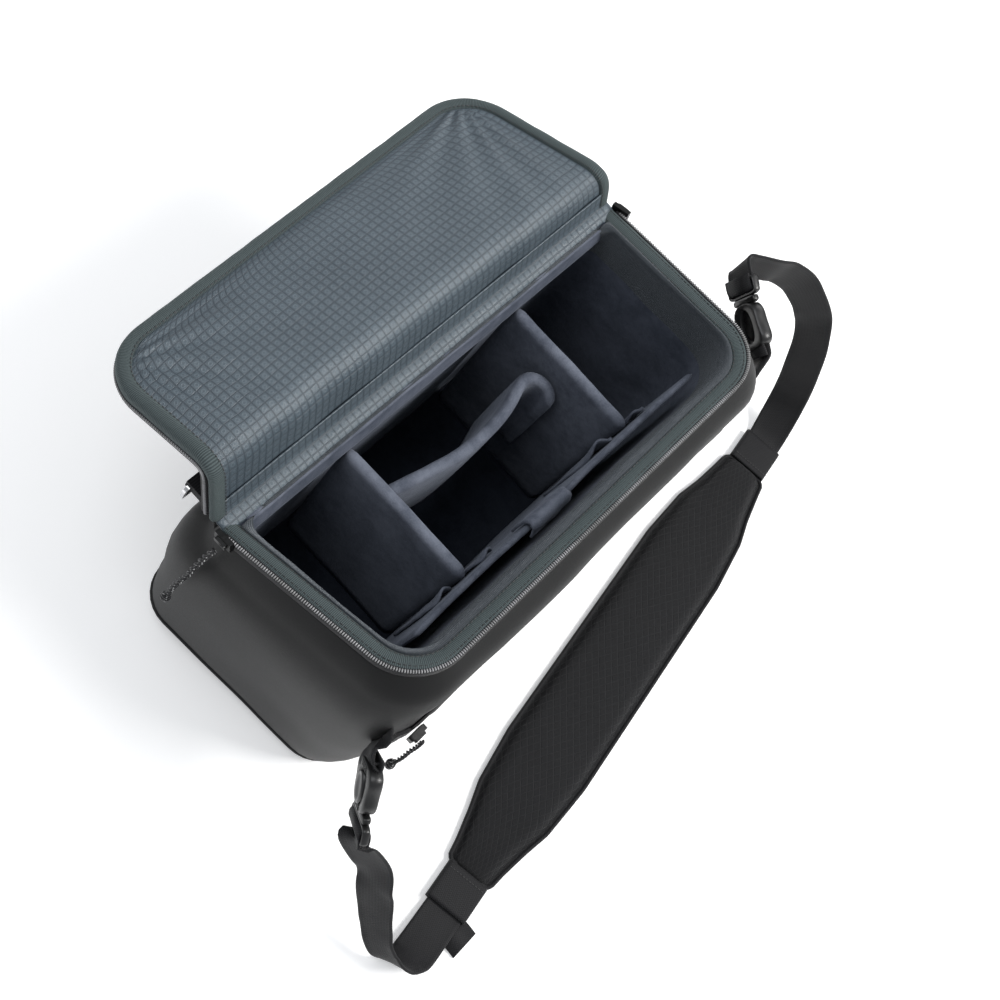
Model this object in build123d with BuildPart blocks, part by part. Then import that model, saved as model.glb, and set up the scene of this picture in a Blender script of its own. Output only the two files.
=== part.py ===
from build123d import *
from math import radians, degrees, sin, cos, tan, hypot, sqrt
import os

# Camera sling bag lying on its base with the top lid unzipped and folded back.
# Millimetres.  +X = right end, -Y = back (body side), +Y = front (hinge side),
# +Z up.  Origin = centre of the flat base.

os.makedirs("parts", exist_ok=True)

# ---------------------------------------------------------------- driving sizes
SKIN = 2.0                    # coated outer fabric with its stiffening
TILT = 12.6                   # slope of the rim plane, degrees, lower at the hinge
HINGE_Y, HINGE_Z = 73.0, 180.0
RIM_DEPTH = 149.5             # rim size along its slope
RIM_NEAR, RIM_FAR = 331.0, 350.0
RIM_RN, RIM_RF = 38.0, 12.0
COLLAR = 6.0                  # height of the zip tape above the shell's edge
BASE_T = 2.5
FOAM_BASE = 9.0               # top of the base padding
LINER_T = 5.0
DIV_T = 9.0                   # padded divider thickness
DIV_TOP = 166.0
DIV_X = 77.0
LID_T = 10.0
HINGE_T = 2.6                 # unpadded hinge strip of the lid
LID_RISE = 70.0               # angle of the hinge strip above horizontal, degrees
LID_FOLD = 89.0               # fold between hinge strip and padded lid, degrees
FOLD_L, FOLD_R = 52.0, 30.0   # fold line distance from the hinge at x = -175, 175
GAP = 0.6                     # lid lining above the rim plane when closed
STRAP_W, STRAP_T = 29.0, 1.8
PAD_W, PAD_T = 68.0, 8.0

c, s = cos(radians(TILT)), sin(radians(TILT))
RIM = Plane(origin=(0, HINGE_Y, HINGE_Z), x_dir=(1, 0, 0), z_dir=(0, s, c))


def section(plane, near_w, near_y, far_w, far_y, rn, rf, inset=0.0):
    n, f = near_w / 2 - inset, far_w / 2 - inset
    yn, yf = near_y + inset, far_y - inset
    with BuildSketch(plane) as sk:
        with BuildLine():
            Polyline((-n, yn), (n, yn), (f, yf), (-f, yf), close=True)
        make_face()
        vv = sk.vertices().sort_by(Axis.Y)
        fillet(vv[:2], radius=max(rn - inset, 1.0))
        vv = [v for v in sk.vertices() if abs(v.Y - yf) < 0.01]
        fillet(vv, radius=max(rf - inset, 1.0))
    return sk.sketch


def prism(sketch, plane, amount, mode=Mode.ADD):
    """Extrudes a sketch along its plane's normal."""
    extrude(sketch, amount=amount, dir=plane.z_dir, mode=mode)


def tilted(z, tilt):
    return Plane(origin=(0, 0, z), x_dir=(1, 0, 0),
                 z_dir=(0, sin(radians(tilt)), cos(radians(tilt))))


# outer surface, from base to rim collar: plane, near width, near y, far width,
# far y, near corner radius, far corner radius
RIM_N = -RIM_DEPTH
OUTER = [
    (tilted(0, 0), 356, -73, 366, 84, 28, 24),
    (tilted(28, 1.5), 366, -87, 386, 91, 32, 28),
    (tilted(92, 6.0), 370, -92, 388, 95, 37, 32),
    (tilted(148, 9.5), 368, -89, 386, 96, 37, 32),
    (RIM.offset(-22), 352, -159, 368, 12, 40, 26),
    (RIM.offset(-COLLAR), RIM_NEAR + 1, RIM_N - .5, RIM_FAR + 1, .5, 38.5, 12.5),
]
CAVITY = [
    (tilted(FOAM_BASE, 0), 322, -60, 334, 65.5, 29, 12),
    (RIM.offset(6), 307, RIM_N + 12, 325, -10, 27, 12),
]


def loft_of(table, inset, extend=False):
    for row in table:
        add(section(row[0], *row[1:], inset=inset))
    if extend:
        row = table[-1]
        add(section(row[0].offset(20), *row[1:], inset=inset))
    loft(ruled=True)


def box(x0, x1, y0, y1, z0, z1, mode=Mode.ADD):
    with Locations(((x0 + x1) / 2, (y0 + y1) / 2, (z0 + z1) / 2)):
        Box(x1 - x0, y1 - y0, z1 - z0, mode=mode)


def done(piece, name):
    piece.part.label = name
    export_step(piece.part, f"parts/{name}.step")
    print(name, round(piece.part.volume), len(piece.part.solids()))


# ------------------------------------------------------------------ outer shell
with BuildPart() as outer_solid:
    loft_of(OUTER, 0)
with BuildPart() as inner_solid:
    loft_of(OUTER, SKIN, extend=True)
with BuildPart() as skin:
    add(outer_solid.part)
    add(inner_solid.part, mode=Mode.SUBTRACT)
    box(-300, 300, -200, 200, -5, BASE_T, mode=Mode.SUBTRACT)

ENDX, MIDY = 140.0, 5.0
with BuildPart() as base_panel:
    add(outer_solid.part)
    box(-300, 300, -200, 200, BASE_T, 300, mode=Mode.SUBTRACT)
done(base_panel, "base_panel")
with BuildPart() as back_panel:
    add(skin.part)
    box(-ENDX, ENDX, -200, MIDY, -5, 300, mode=Mode.INTERSECT)
done(back_panel, "back_panel")
with BuildPart() as front_panel:
    add(skin.part)
    box(-ENDX, ENDX, MIDY, 200, -5, 300, mode=Mode.INTERSECT)
done(front_panel, "front_panel")
with BuildPart() as left_end_panel:
    add(skin.part)
    box(-300, -ENDX, -200, 200, -5, 300, mode=Mode.INTERSECT)
done(left_end_panel, "left_end_panel")
with BuildPart() as right_end_panel:
    add(skin.part)
    box(ENDX, 300, -200, 200, -5, 300, mode=Mode.INTERSECT)
done(right_end_panel, "right_end_panel")

# ------------------------------------------------------------- padded inner walls
with BuildPart() as cavity:
    loft_of(CAVITY, 0)
with BuildPart() as wall_outer:
    loft_of(CAVITY, -LINER_T)
with BuildPart() as walls:
    add(wall_outer.part)
    add(cavity.part, mode=Mode.SUBTRACT)
    with BuildSketch(RIM.offset(-COLLAR)):
        Rectangle(600, 600)
    extrude(amount=60, mode=Mode.SUBTRACT)

with BuildPart() as liner_base:
    add(inner_solid.part)
    box(-300, 300, -200, 200, BASE_T, FOAM_BASE, mode=Mode.INTERSECT)
done(liner_base, "liner_base")
with BuildPart() as liner_back:
    add(walls.part)
    box(-130, 130, -200, 0, 0, 300, mode=Mode.INTERSECT)
done(liner_back, "liner_back")
with BuildPart() as liner_front:
    add(walls.part)
    box(-130, 130, 0, 200, 0, 300, mode=Mode.INTERSECT)
done(liner_front, "liner_front")
with BuildPart() as liner_left:
    add(walls.part)
    box(-300, -130, -200, 200, 0, 300, mode=Mode.INTERSECT)
done(liner_left, "liner_left")
with BuildPart() as liner_right:
    add(walls.part)
    box(130, 300, -200, 200, 0, 300, mode=Mode.INTERSECT)
done(liner_right, "liner_right")

# ---------------------------------------------------------------- rim and zip
def rim_loop(inset):
    return section(RIM.offset(-COLLAR), RIM_NEAR, RIM_N, RIM_FAR, 0, RIM_RN, RIM_RF, inset=inset)


with BuildPart() as rim_binding:
    prism(rim_loop(2.4), RIM, COLLAR - .5)
    prism(rim_loop(11), RIM, COLLAR, Mode.SUBTRACT)
done(rim_binding, "rim_binding")
with BuildPart() as rim_zip:
    prism(rim_loop(0), RIM, COLLAR - .5)
    prism(rim_loop(2.4), RIM, COLLAR, Mode.SUBTRACT)
    with BuildSketch(RIM.offset(-COLLAR)):
        with Locations((0, 6)):
            Rectangle(500, 24)
    extrude(amount=COLLAR, mode=Mode.SUBTRACT)
done(rim_zip, "rim_zip")

# ---------------------------------------------------------- tablet sleeve wall
SLEEVE_Y0, SLEEVE_Y1, SLEEVE_TOP = -49.5, -45.5, 184.0
with BuildPart() as sleeve_wall:
    box(-132, 132, SLEEVE_Y0, SLEEVE_Y1, FOAM_BASE, SLEEVE_TOP)
done(sleeve_wall, "sleeve_wall")
with BuildPart() as sleeve_tab:
    with BuildSketch(Plane.XZ.offset(-SLEEVE_Y1)):
        with Locations((-14, SLEEVE_TOP - 10)):
            RectangleRounded(34, 22, 6)
    extrude(amount=-2.0)
done(sleeve_tab, "sleeve_tab")

# ------------------------------------------------- back pocket zip and padding
with BuildPart() as layer2:
    loft_of(OUTER, -2.0)
with BuildPart() as layer7:
    loft_of(OUTER, -7.0)
BZ = 140.0
with BuildPart() as back_pocket_zip:
    add(layer2.part)
    add(outer_solid.part, mode=Mode.SUBTRACT)
    box(-158, 150, -200, -45, BZ - 5, BZ + 5, mode=Mode.INTERSECT)
done(back_pocket_zip, "back_pocket_zip")
with BuildPart() as back_zip_end_tabs:
    add(layer2.part)
    add(outer_solid.part, mode=Mode.SUBTRACT)
    box(-300, 300, -200, -45, BZ - 7, BZ + 7, mode=Mode.INTERSECT)
    box(-158, 150, -200, 0, 0, 300, mode=Mode.SUBTRACT)
    box(-300, -167, -200, 0, 0, 300, mode=Mode.SUBTRACT)
    box(160, 300, -200, 0, 0, 300, mode=Mode.SUBTRACT)
done(back_zip_end_tabs, "back_zip_end_tabs")
with BuildPart() as back_padding:
    add(layer7.part)
    add(outer_solid.part, mode=Mode.SUBTRACT)
    box(-128, 136, -200, -45, 30, 91, mode=Mode.INTERSECT)
done(back_padding, "back_padding")
FZ = 132.0
with BuildPart() as front_pocket_zip:
    add(layer2.part)
    add(outer_solid.part, mode=Mode.SUBTRACT)
    box(-140, 140, 45, 200, FZ - 5, FZ + 5, mode=Mode.INTERSECT)
done(front_pocket_zip, "front_pocket_zip")

# ------------------------------------------------------------- lid, folded back
def turn(v, k, deg):
    """Turn vector v about unit vector k by deg degrees."""
    a = radians(deg)
    v, k = Vector(*v), Vector(*k)
    return v * cos(a) + k.cross(v) * sin(a) + k * (k.dot(v) * (1 - cos(a)))


# hinge axis a little above the rim plane; closed lid lies along -Y up the slope
HP = Vector(0, HINGE_Y, HINGE_Z) + Vector(0, s, c) * GAP
CLOSE = 180.0 - TILT - LID_RISE          # travel from rest to closed
# lid frame: x = X, y = distance from hinge, z = out of the lining
U = turn((0, 1, 0), (1, 0, 0), LID_RISE)
N = turn((0, 0, 1), (1, 0, 0), LID_RISE)
STRIP = Plane(origin=HP, x_dir=(1, 0, 0), z_dir=N)
slope = (FOLD_R - FOLD_L) / 350.0
E_DIR = (Vector(1, 0, 0) + U * slope).normalized()
F0 = HP + U * ((FOLD_L + FOLD_R) / 2)
LX = turn((1, 0, 0), E_DIR, -LID_FOLD)
LN = turn(N, E_DIR, -LID_FOLD)
LO = F0 + turn(HP - F0, E_DIR, -LID_FOLD)
LIDP = Plane(origin=LO, x_dir=LX, z_dir=LN)
print("hinge axis point", HP, "close", CLOSE)
print("fold axis point", F0, "dir", E_DIR, "lid normal", LN)


def lid_outline(plane, inset, y0=None, corner=RIM_RN):
    """Lid outline in its own frame: hinge at y = 0, free edge at y = RIM_DEPTH."""
    n, f = RIM_NEAR / 2 - inset, RIM_FAR / 2 - inset
    yn = RIM_DEPTH - inset
    with BuildSketch(plane) as sk:
        with BuildLine():
            Polyline((-f, 0), (f, 0), (n, yn), (-n, yn), close=True)
        make_face()
        fillet([v for v in sk.vertices() if abs(v.Y - yn) < .01], radius=corner - inset)
    return sk.sketch


def fold_cut(plane, side, gap):
    """Removes everything on one side of the fold line, gap beyond it."""
    a, b = (-260, (FOLD_L + FOLD_R) / 2 - slope * 260 + gap), (260, (FOLD_L + FOLD_R) / 2 + slope * 260 + gap)
    with BuildSketch(plane) as sk:
        with BuildLine():
            Polyline(a, b, (260, b[1] + side * 400), (-260, a[1] + side * 400), close=True)
        make_face()
    return sk.sketch


with BuildPart() as lid_hinge_panel:
    with BuildSketch(STRIP):
        with BuildLine():
            Polyline((-170, 2.5), (170, 2.5), (169, 130), (-169, 130), close=True)
        make_face()
    extrude(amount=-HINGE_T)
    prism(fold_cut(STRIP.offset(-20), 1, -1.5), STRIP, 40, Mode.SUBTRACT)
done(lid_hinge_panel, "lid_hinge_panel")


def lid_layer(top, bottom, inset, inner=None):
    prism(lid_outline(LIDP.offset(bottom), inset), LIDP, top - bottom)
    if inner is not None:
        prism(lid_outline(LIDP.offset(bottom), inner), LIDP, top - bottom, Mode.SUBTRACT)
    prism(fold_cut(LIDP.offset(-30), -1, 6.5), LIDP, 60, Mode.SUBTRACT)


with BuildPart() as lid_lining:
    lid_layer(0, -1.6, 9)
done(lid_lining, "lid_lining")
with BuildPart() as lid_padding:
    lid_layer(-1.6, -LID_T + 1.6, 9)
done(lid_padding, "lid_padding")
with BuildPart() as lid_binding:
    lid_layer(0, -LID_T + 1.6, 2.4, 9)
done(lid_binding, "lid_binding")
with BuildPart() as lid_zip:
    lid_layer(0, -LID_T + 1.6, 0.0, 2.4)
done(lid_zip, "lid_zip")
with BuildPart() as lid_shell:
    lid_layer(-LID_T + 1.6, -LID_T, 0.0)
done(lid_shell, "lid_shell")

# ------------------------------------------------------------------- dividers
with BuildPart() as divider_left:
    with BuildSketch(Plane.YZ.offset(-DIV_X - DIV_T / 2)) as sk:
        with BuildLine():
            Polyline((-44.5, FOAM_BASE + .4), (60.2, FOAM_BASE + .4), (60.2, DIV_TOP), (-44.5, DIV_TOP + 4), close=True)
        make_face()
        fillet(sk.vertices(), radius=8)
    extrude(amount=DIV_T)
done(divider_left, "divider_left")
with BuildPart() as divider_right:
    with BuildSketch(Plane.YZ.offset(DIV_X - DIV_T / 2)) as sk:
        with BuildLine():
            Polyline((-44.5, FOAM_BASE + .4), (60.2, FOAM_BASE + .4), (60.2, DIV_TOP), (-44.5, DIV_TOP + 4), close=True)
        make_face()
        fillet(sk.vertices(), radius=8)
    extrude(amount=DIV_T)
done(divider_right, "divider_right")
with BuildPart() as divider_cross:
    with BuildSketch(Plane.XY.offset(62)) as sk:
        with BuildLine():
            Polyline((-72.0, 29), (-72.0, 20), (-14, 8), (22, 8), (56, 16), (66, 5), (60, -3), (64, -6), (71.5, 4),
                     (60, 25), (52, 25), (20, 17), (-12, 17), close=True)
        make_face()
    extrude(amount=92)
done(divider_cross, "divider_cross")

# ---------------------------------------------------------------- zip sliders
half_far, half_near = RIM_FAR / 2, RIM_NEAR / 2
toe = (half_near - half_far) / RIM_DEPTH
run = Vector(0, -c, s)                      # up the slope, towards the back


def rim_side(sign, dist):
    """Point on the end rim line, dist from the hinge, and its run direction."""
    x = sign * (half_far + toe * dist)
    d = (run + Vector(sign * toe, 0, 0)).normalized()
    return Vector(x, HINGE_Y, HINGE_Z) + run * dist, d


def slider_plane(sign):
    p, d = rim_side(sign, 11.0)
    p = Vector(sign * (half_far + toe * 11.0), p.Y, p.Z)
    n = Vector(0, s, c)
    out = d.cross(n) * (1 if sign > 0 else -1)
    out = Vector(sign * abs(out.X), out.Y, out.Z)
    q = p + out * .95
    return Plane(origin=q, x_dir=d, z_dir=out), d, out, n


def slider(sign):
    pl, d, out, n = slider_plane(sign)
    with BuildSketch(pl) as sk:
        with BuildLine():
            Polyline((-6.5, -3.2), (6.5, -4.2), (6.5, 4.2), (-6.5, 3.2), close=True)
        make_face()
    prism(sk.sketch, pl, 3.2)
    with BuildSketch(pl.offset(3.2)) as sk2:
        RectangleRounded(9, 3.4, 1.2)
    prism(sk2.sketch, pl, 2.2)


with BuildPart() as zip_slider_left:
    slider(-1)
done(zip_slider_left, "zip_slider_left")
with BuildPart() as zip_slider_right:
    slider(1)
done(zip_slider_right, "zip_slider_right")


def route(points):
    """Straight runs joined by tangent arcs, as large as the runs allow."""
    P = [Vector(*p) for p in points]
    radii = []
    for i in range(1, len(P) - 1):
        a, b = P[i] - P[i - 1], P[i + 1] - P[i]
        t = radians(a.get_angle(b))
        radii.append(.45 * min(a.length, b.length) / tan(t / 2))
    print("   radii", [round(r, 1) for r in radii])
    return points, radii


def cord_tube(points, dia):
    pts, radii = route(points)
    with BuildLine() as wire:
        FilletPolyline(*pts, radius=radii)
    with BuildSketch(Plane(origin=wire.line @ 0, z_dir=wire.line % 0)) as sk:
        Circle(dia / 2)
    sweep(sections=sk.sketch, path=wire.wires()[0])
    length = sum(e.length for e in wire.edges())
    print("   cord length", round(length, 1), "section x length", round(length * 3.14159 * dia * dia / 4, 1))


CORD_D = 4.0
# twisted pull cord of the main zip, hanging over the end wall
LEFT_PULL = [(-183.6, 62.0, 177.6), (-190.0, 63.6, 165.0), (-197.4, 63.0, 151.0), (-201.0, 65.4, 136.0), (-204.0, 65.0, 121.0)]
RIGHT_PULL = [(-x, y, z) for x, y, z in LEFT_PULL]


def knot(p, q, r):
    d = (Vector(*p) - Vector(*q)).normalized()
    with BuildSketch(Plane(origin=Vector(*p), z_dir=d)) as sk:
        Circle(r * .7)
    extrude(sk.sketch, amount=1.5, dir=d)
    with BuildSketch(Plane(origin=Vector(*p) + d * 1.5, z_dir=d)) as sk2:
        Circle(r)
    extrude(sk2.sketch, amount=7.0, dir=d)


with BuildPart() as pull_cord_left:
    cord_tube(LEFT_PULL, CORD_D)
done(pull_cord_left, "pull_cord_left")
with BuildPart() as pull_end_left:
    knot(LEFT_PULL[-1], LEFT_PULL[-2], 3.4)
done(pull_end_left, "pull_end_left")
with BuildPart() as pull_cord_right:
    cord_tube(RIGHT_PULL, CORD_D)
done(pull_cord_right, "pull_cord_right")
with BuildPart() as pull_end_right:
    knot(RIGHT_PULL[-1], RIGHT_PULL[-2], 3.4)
done(pull_end_right, "pull_end_right")

# back pocket slider and its pull
BSX, BSY = -155.0, -91.8
with BuildPart() as back_zip_slider:
    with BuildSketch(Plane.XZ.offset(-BSY)) as sk:
        with Locations((BSX, BZ)):
            RectangleRounded(13, 8.4, 2)
    extrude(amount=3.4)
    with BuildSketch(Plane.XZ.offset(-BSY + 3.4)) as sk:
        with Locations((BSX, BZ)):
            RectangleRounded(9, 3.4, 1.2)
    extrude(amount=2.0)
done(back_zip_slider, "back_zip_slider")
BACK_PULL = [(BSX - 0.5, BSY - 7.6, BZ - 1.0), (BSX - 1.4, BSY - 8.6, BZ - 10.0), (BSX - 4.6, BSY - 8.0, BZ - 19.0), (BSX - 8.0, BSY - 8.8, BZ - 28.0), (BSX - 10.6, BSY - 8.0, BZ - 37.0)]
with BuildPart() as back_pull_cord:
    cord_tube(BACK_PULL, 3.2)
done(back_pull_cord, "back_pull_cord")
with BuildPart() as back_pull_end:
    knot(BACK_PULL[-1], BACK_PULL[-2], 3.4)
done(back_pull_end, "back_pull_end")

# front pocket slider and its pull
FSX, FSY = 120.0, 99.4
with BuildPart() as front_zip_slider:
    with BuildSketch(Plane.XZ.offset(-FSY)) as sk:
        with Locations((FSX, FZ)):
            RectangleRounded(13, 8.4, 2)
    extrude(amount=-3.4)
    with BuildSketch(Plane.XZ.offset(-FSY - 3.4)) as sk:
        with Locations((FSX, FZ)):
            RectangleRounded(9, 3.4, 1.2)
    extrude(amount=-2.0)
done(front_zip_slider, "front_zip_slider")
FRONT_PULL = [(FSX + 0.5, FSY + 7.6, FZ - 1.0), (FSX + 1.4, FSY + 8.6, FZ - 10.0), (FSX + 0.6, FSY + 8.0, FZ - 19.0), (FSX + 2.0, FSY + 8.8, FZ - 28.0), (FSX + 1.6, FSY + 8.0, FZ - 37.0)]
with BuildPart() as front_pull_cord:
    cord_tube(FRONT_PULL, 3.2)
done(front_pull_cord, "front_pull_cord")
with BuildPart() as front_pull_end:
    knot(FRONT_PULL[-1], FRONT_PULL[-2], 3.4)
done(front_pull_end, "front_pull_end")

# ------------------------------------------------------- lash loops and D-rings
LX0, LY0, LZ0 = 152.0, 102.5, 146.0


def lash_webbing(sign):
    add(layer2.part)
    add(outer_solid.part, mode=Mode.SUBTRACT)
    a, b = sorted((sign * (LX0 - 7), sign * (LX0 + 7)))
    box(a, b, 45, 200, LZ0 - 4, LZ0 + 24, mode=Mode.INTERSECT)
    with BuildSketch(Plane.YZ.offset(a)) as sk:
        with Locations((LY0 - 8, LZ0)):
            Rectangle(22, 7.4)
    extrude(sk.sketch, amount=14, dir=(1, 0, 0))
    add(outer_solid.part, mode=Mode.SUBTRACT)
    with BuildSketch(Plane.YZ.offset(a)) as sk:
        with Locations((LY0, LZ0)):
            Circle(1.9)
    extrude(sk.sketch, amount=14, dir=(1, 0, 0), mode=Mode.SUBTRACT)


def lash_ring(sign):
    with BuildSketch(Plane.XZ.offset(-LY0)) as sk:
        with Locations((sign * LX0, LZ0 - 7)):
            RectangleRounded(22.4, 16.4, 4.5)
            RectangleRounded(17.6, 11.6, 2.6, mode=Mode.SUBTRACT)
    extrude(sk.sketch, amount=1.2, dir=(0, 1, 0), both=True)


with BuildPart() as lash_webbing_left:
    lash_webbing(-1)
done(lash_webbing_left, "lash_webbing_left")
with BuildPart() as lash_webbing_right:
    lash_webbing(1)
done(lash_webbing_right, "lash_webbing_right")
with BuildPart() as lash_ring_left:
    lash_ring(-1)
done(lash_ring_left, "lash_ring_left")
with BuildPart() as lash_ring_right:
    lash_ring(1)
done(lash_ring_right, "lash_ring_right")

# ---------------------------------------------------------- shoulder strap
A_L, D_L = Vector(-179, -82, 142), Vector(-.55, -.55, -.62).normalized()
A_R, D_R = Vector(192, -76, 166), Vector(.45, .87, .18).normalized()
Z = Vector(0, 0, 1)


def frame_of(a, d):
    """Local frame of a buckle: x along the strap, y across it, z out of its face."""
    w = (Z - d * Z.dot(d)).normalized()
    return Plane(origin=a, x_dir=d, z_dir=d.cross(w))


CH_L, CH_R = frame_of(A_L, D_L), frame_of(A_R, D_R)


def slab(plane, x0, x1, width, t0, t1, r, mode=Mode.ADD):
    with BuildSketch(plane.offset(t0)) as sk:
        with Locations(((x0 + x1) / 2, 0)):
            RectangleRounded(x1 - x0, width, r)
    prism(sk.sketch, plane, t1 - t0, mode)


def oval(plane, x, a, b, t0, t1, mode=Mode.ADD):
    with BuildSketch(plane.offset(t0)) as sk:
        with Locations((x, 0)):
            Ellipse(a, b)
    prism(sk.sketch, plane, t1 - t0, mode)


def housing(plane):
    slab(plane, 10, 42, 30, -4.5, 4.5, 8)
    oval(plane, 27, 11.5, 7.2, -6, 6, Mode.SUBTRACT)


def ladder(plane):
    slab(plane, 46, 59, 33, -2.6, 2.6, 2)
    slab(plane, 48.4, 51.4, 29.8, -4, 4, .7, Mode.SUBTRACT)
    slab(plane, 54, 57, 29.8, -4, 4, .7, Mode.SUBTRACT)


with BuildPart() as anchor_webbing_left:
    slab(CH_L, 2.5, 10, 22, -.9, .9, .6)
done(anchor_webbing_left, "anchor_webbing_left")
with BuildPart() as anchor_webbing_right:
    slab(CH_R, -6, 10, 22, -.9, .9, .6)
done(anchor_webbing_right, "anchor_webbing_right")
with BuildPart() as buckle_housing_left:
    housing(CH_L)
done(buckle_housing_left, "buckle_housing_left")
with BuildPart() as buckle_housing_right:
    housing(CH_R)
done(buckle_housing_right, "buckle_housing_right")
with BuildPart() as buckle_button_left:
    oval(CH_L, 27, 11.0, 6.7, -1.2, 6.0)
done(buckle_button_left, "buckle_button_left")
with BuildPart() as buckle_button_right:
    oval(CH_R, 27, 11.0, 6.7, -1.2, 6.0)
done(buckle_button_right, "buckle_button_right")
with BuildPart() as buckle_tongue_left:
    slab(CH_L, 42, 46, 25, -3.0, 3.0, 1.2)
done(buckle_tongue_left, "buckle_tongue_left")
with BuildPart() as buckle_tongue_right:
    slab(CH_R, 42, 46, 25, -3.0, 3.0, 1.2)
done(buckle_tongue_right, "buckle_tongue_right")
with BuildPart() as ladder_lock_left:
    ladder(CH_L)
done(ladder_lock_left, "ladder_lock_left")
with BuildPart() as ladder_lock_right:
    ladder(CH_R)
done(ladder_lock_right, "ladder_lock_right")

# strap centre line with the direction its upper edge points in
PAD0, PAD1 = Vector(-148.0, -199.0, .5), Vector(237.0, -140.1, .5)
PDIR = (PAD1 - PAD0).normalized()
PADP = Plane(origin=PAD0, x_dir=PDIR, z_dir=(0, 0, 1))
PL = (PAD1 - PAD0).length


def station(p, *up):
    return (p.X, p.Y, p.Z, *up)


def on_pad(u, z):
    p = PAD0 + PDIR * u
    return (p.X, p.Y, z, PDIR.Y, -PDIR.X, 0)


LEFT_STRAP = [
    station(A_L + D_L * 60.2, 0, 0, 1), station(A_L + D_L * 65, .1, 0, 1),
    (-212.5, -139.1, 80.0, 0.2, 0, 0.97), (-216.7, -151.7, 63.0, 0.25, 0, 0.97), (-220.6, -161.9, 48.0, 0.25, 0, 0.97), (-224.9, -172.2, 36.0, 0.25, -0.05, 0.97), (-229.1, -183.0, 26.0, 0.2, -0.1, 0.97), (-230.1, -193.1, 20.0, 0.15, -0.3, 0.93), (-226.6, -201.6, 16.0, 0, -0.55, 0.8), (-219.0, -205.7, 13.0, 0, -0.8, 0.55), (-209.1, -206.8, 9.5, 0.05, -0.95, 0.25),
    on_pad(-33, 4.4), on_pad(-15, 4.1), on_pad(-.6, 4.0)]
RIGHT_STRAP = [
    station(A_R + D_R * 62.4, 0, 0, 1), (225.5, -17.0, 177.8, 0, 0, 1), (233.5, -22.0, 176.0, 0, 0, 1), (246.5, -33.8, 173.0, 0, 0, 1), (259.0, -42.2, 167.0, 0, 0, 1), (270.9, -53.5, 157.0, 0, 0, 1), (279.6, -64.9, 144.0, 0, -0.08, 1), (287.4, -76.8, 129.0, 0, -0.15, 1), (293.1, -86.7, 112.0, 0.02, -0.25, 0.95), (295.0, -97.7, 92.0, 0.05, -0.4, 0.9), (295.2, -107.1, 70.0, 0.1, -0.6, 0.75), (295.6, -116.4, 46.0, 0.12, -0.8, 0.5), (292.3, -124.5, 24.0, 0.14, -0.95, 0.22),
    on_pad(PL + 36, 4.4), on_pad(PL + 15, 4.0), on_pad(PL + .6, 4.0)]


def strap(stations):
    P = [Vector(*q[:3]) for q in stations]
    for i, q in enumerate(stations):
        a, b = P[max(i - 1, 0)], P[min(i + 1, len(P) - 1)]
        d = (b - a).normalized()
        r = Vector(*q[3:])
        w = (r - d * r.dot(d)).normalized()
        with BuildSketch(Plane(origin=P[i], x_dir=w, z_dir=d)) as sk:
            Rectangle(STRAP_W, STRAP_T)
        add(sk.sketch)
    loft(ruled=True)


with BuildPart() as strap_webbing_left:
    strap(LEFT_STRAP)
done(strap_webbing_left, "strap_webbing_left")
with BuildPart() as strap_webbing_right:
    strap(RIGHT_STRAP)
done(strap_webbing_right, "strap_webbing_right")
with BuildPart() as strap_tail:
    with BuildSketch(Plane.XY.offset(0.5)) as sk:
        with Locations((-182, -226)):
            RectangleRounded(24, 9, 1)
    extrude(sk.sketch, amount=1.6, dir=(0, 0, 1))
done(strap_tail, "strap_tail")

with BuildPart() as shoulder_pad:
    with BuildSketch(PADP) as sk:
        with BuildLine():
            Polyline((0, -17), (14, -19), (52, -PAD_W / 2 + 5), (96, -PAD_W / 2), (PL - 96, -PAD_W / 2),
                     (PL - 48, -PAD_W / 2 + 5), (PL - 12, -20), (PL, -18), (PL, 18), (PL - 12, 20),
                     (PL - 48, PAD_W / 2 - 5), (PL - 96, PAD_W / 2), (96, PAD_W / 2),
                     (52, PAD_W / 2 - 5), (14, 19), (0, 17), close=True)
        make_face()
    prism(sk.sketch, PADP, PAD_T)
done(shoulder_pad, "shoulder_pad")


with BuildPart() as pad_keeper_left:
    with BuildSketch(PADP) as sk:
        with Locations((-14.9, 0)):
            Rectangle(28.6, 33.6)
    prism(sk.sketch, PADP, 7.4)
    with BuildSketch(PADP.offset(1.0)) as sk:
        with Locations((-14.9, 0)):
            Rectangle(31, 31.0)
    prism(sk.sketch, PADP, 5.2, Mode.SUBTRACT)
done(pad_keeper_left, "pad_keeper_left")
with BuildPart() as pad_keeper_right:
    with BuildSketch(PADP) as sk:
        with Locations((PL + 14.9, 0)):
            Rectangle(28.6, 33.6)
    prism(sk.sketch, PADP, 7.4)
    with BuildSketch(PADP.offset(1.0)) as sk:
        with Locations((PL + 14.9, 0)):
            Rectangle(31, 31.0)
    prism(sk.sketch, PADP, 5.2, Mode.SUBTRACT)
done(pad_keeper_right, "pad_keeper_right")
print("buckle face normals", CH_L.z_dir, CH_R.z_dir)
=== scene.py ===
import bpy, math
import numpy as np
from mathutils import Vector, Matrix, noise


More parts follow.
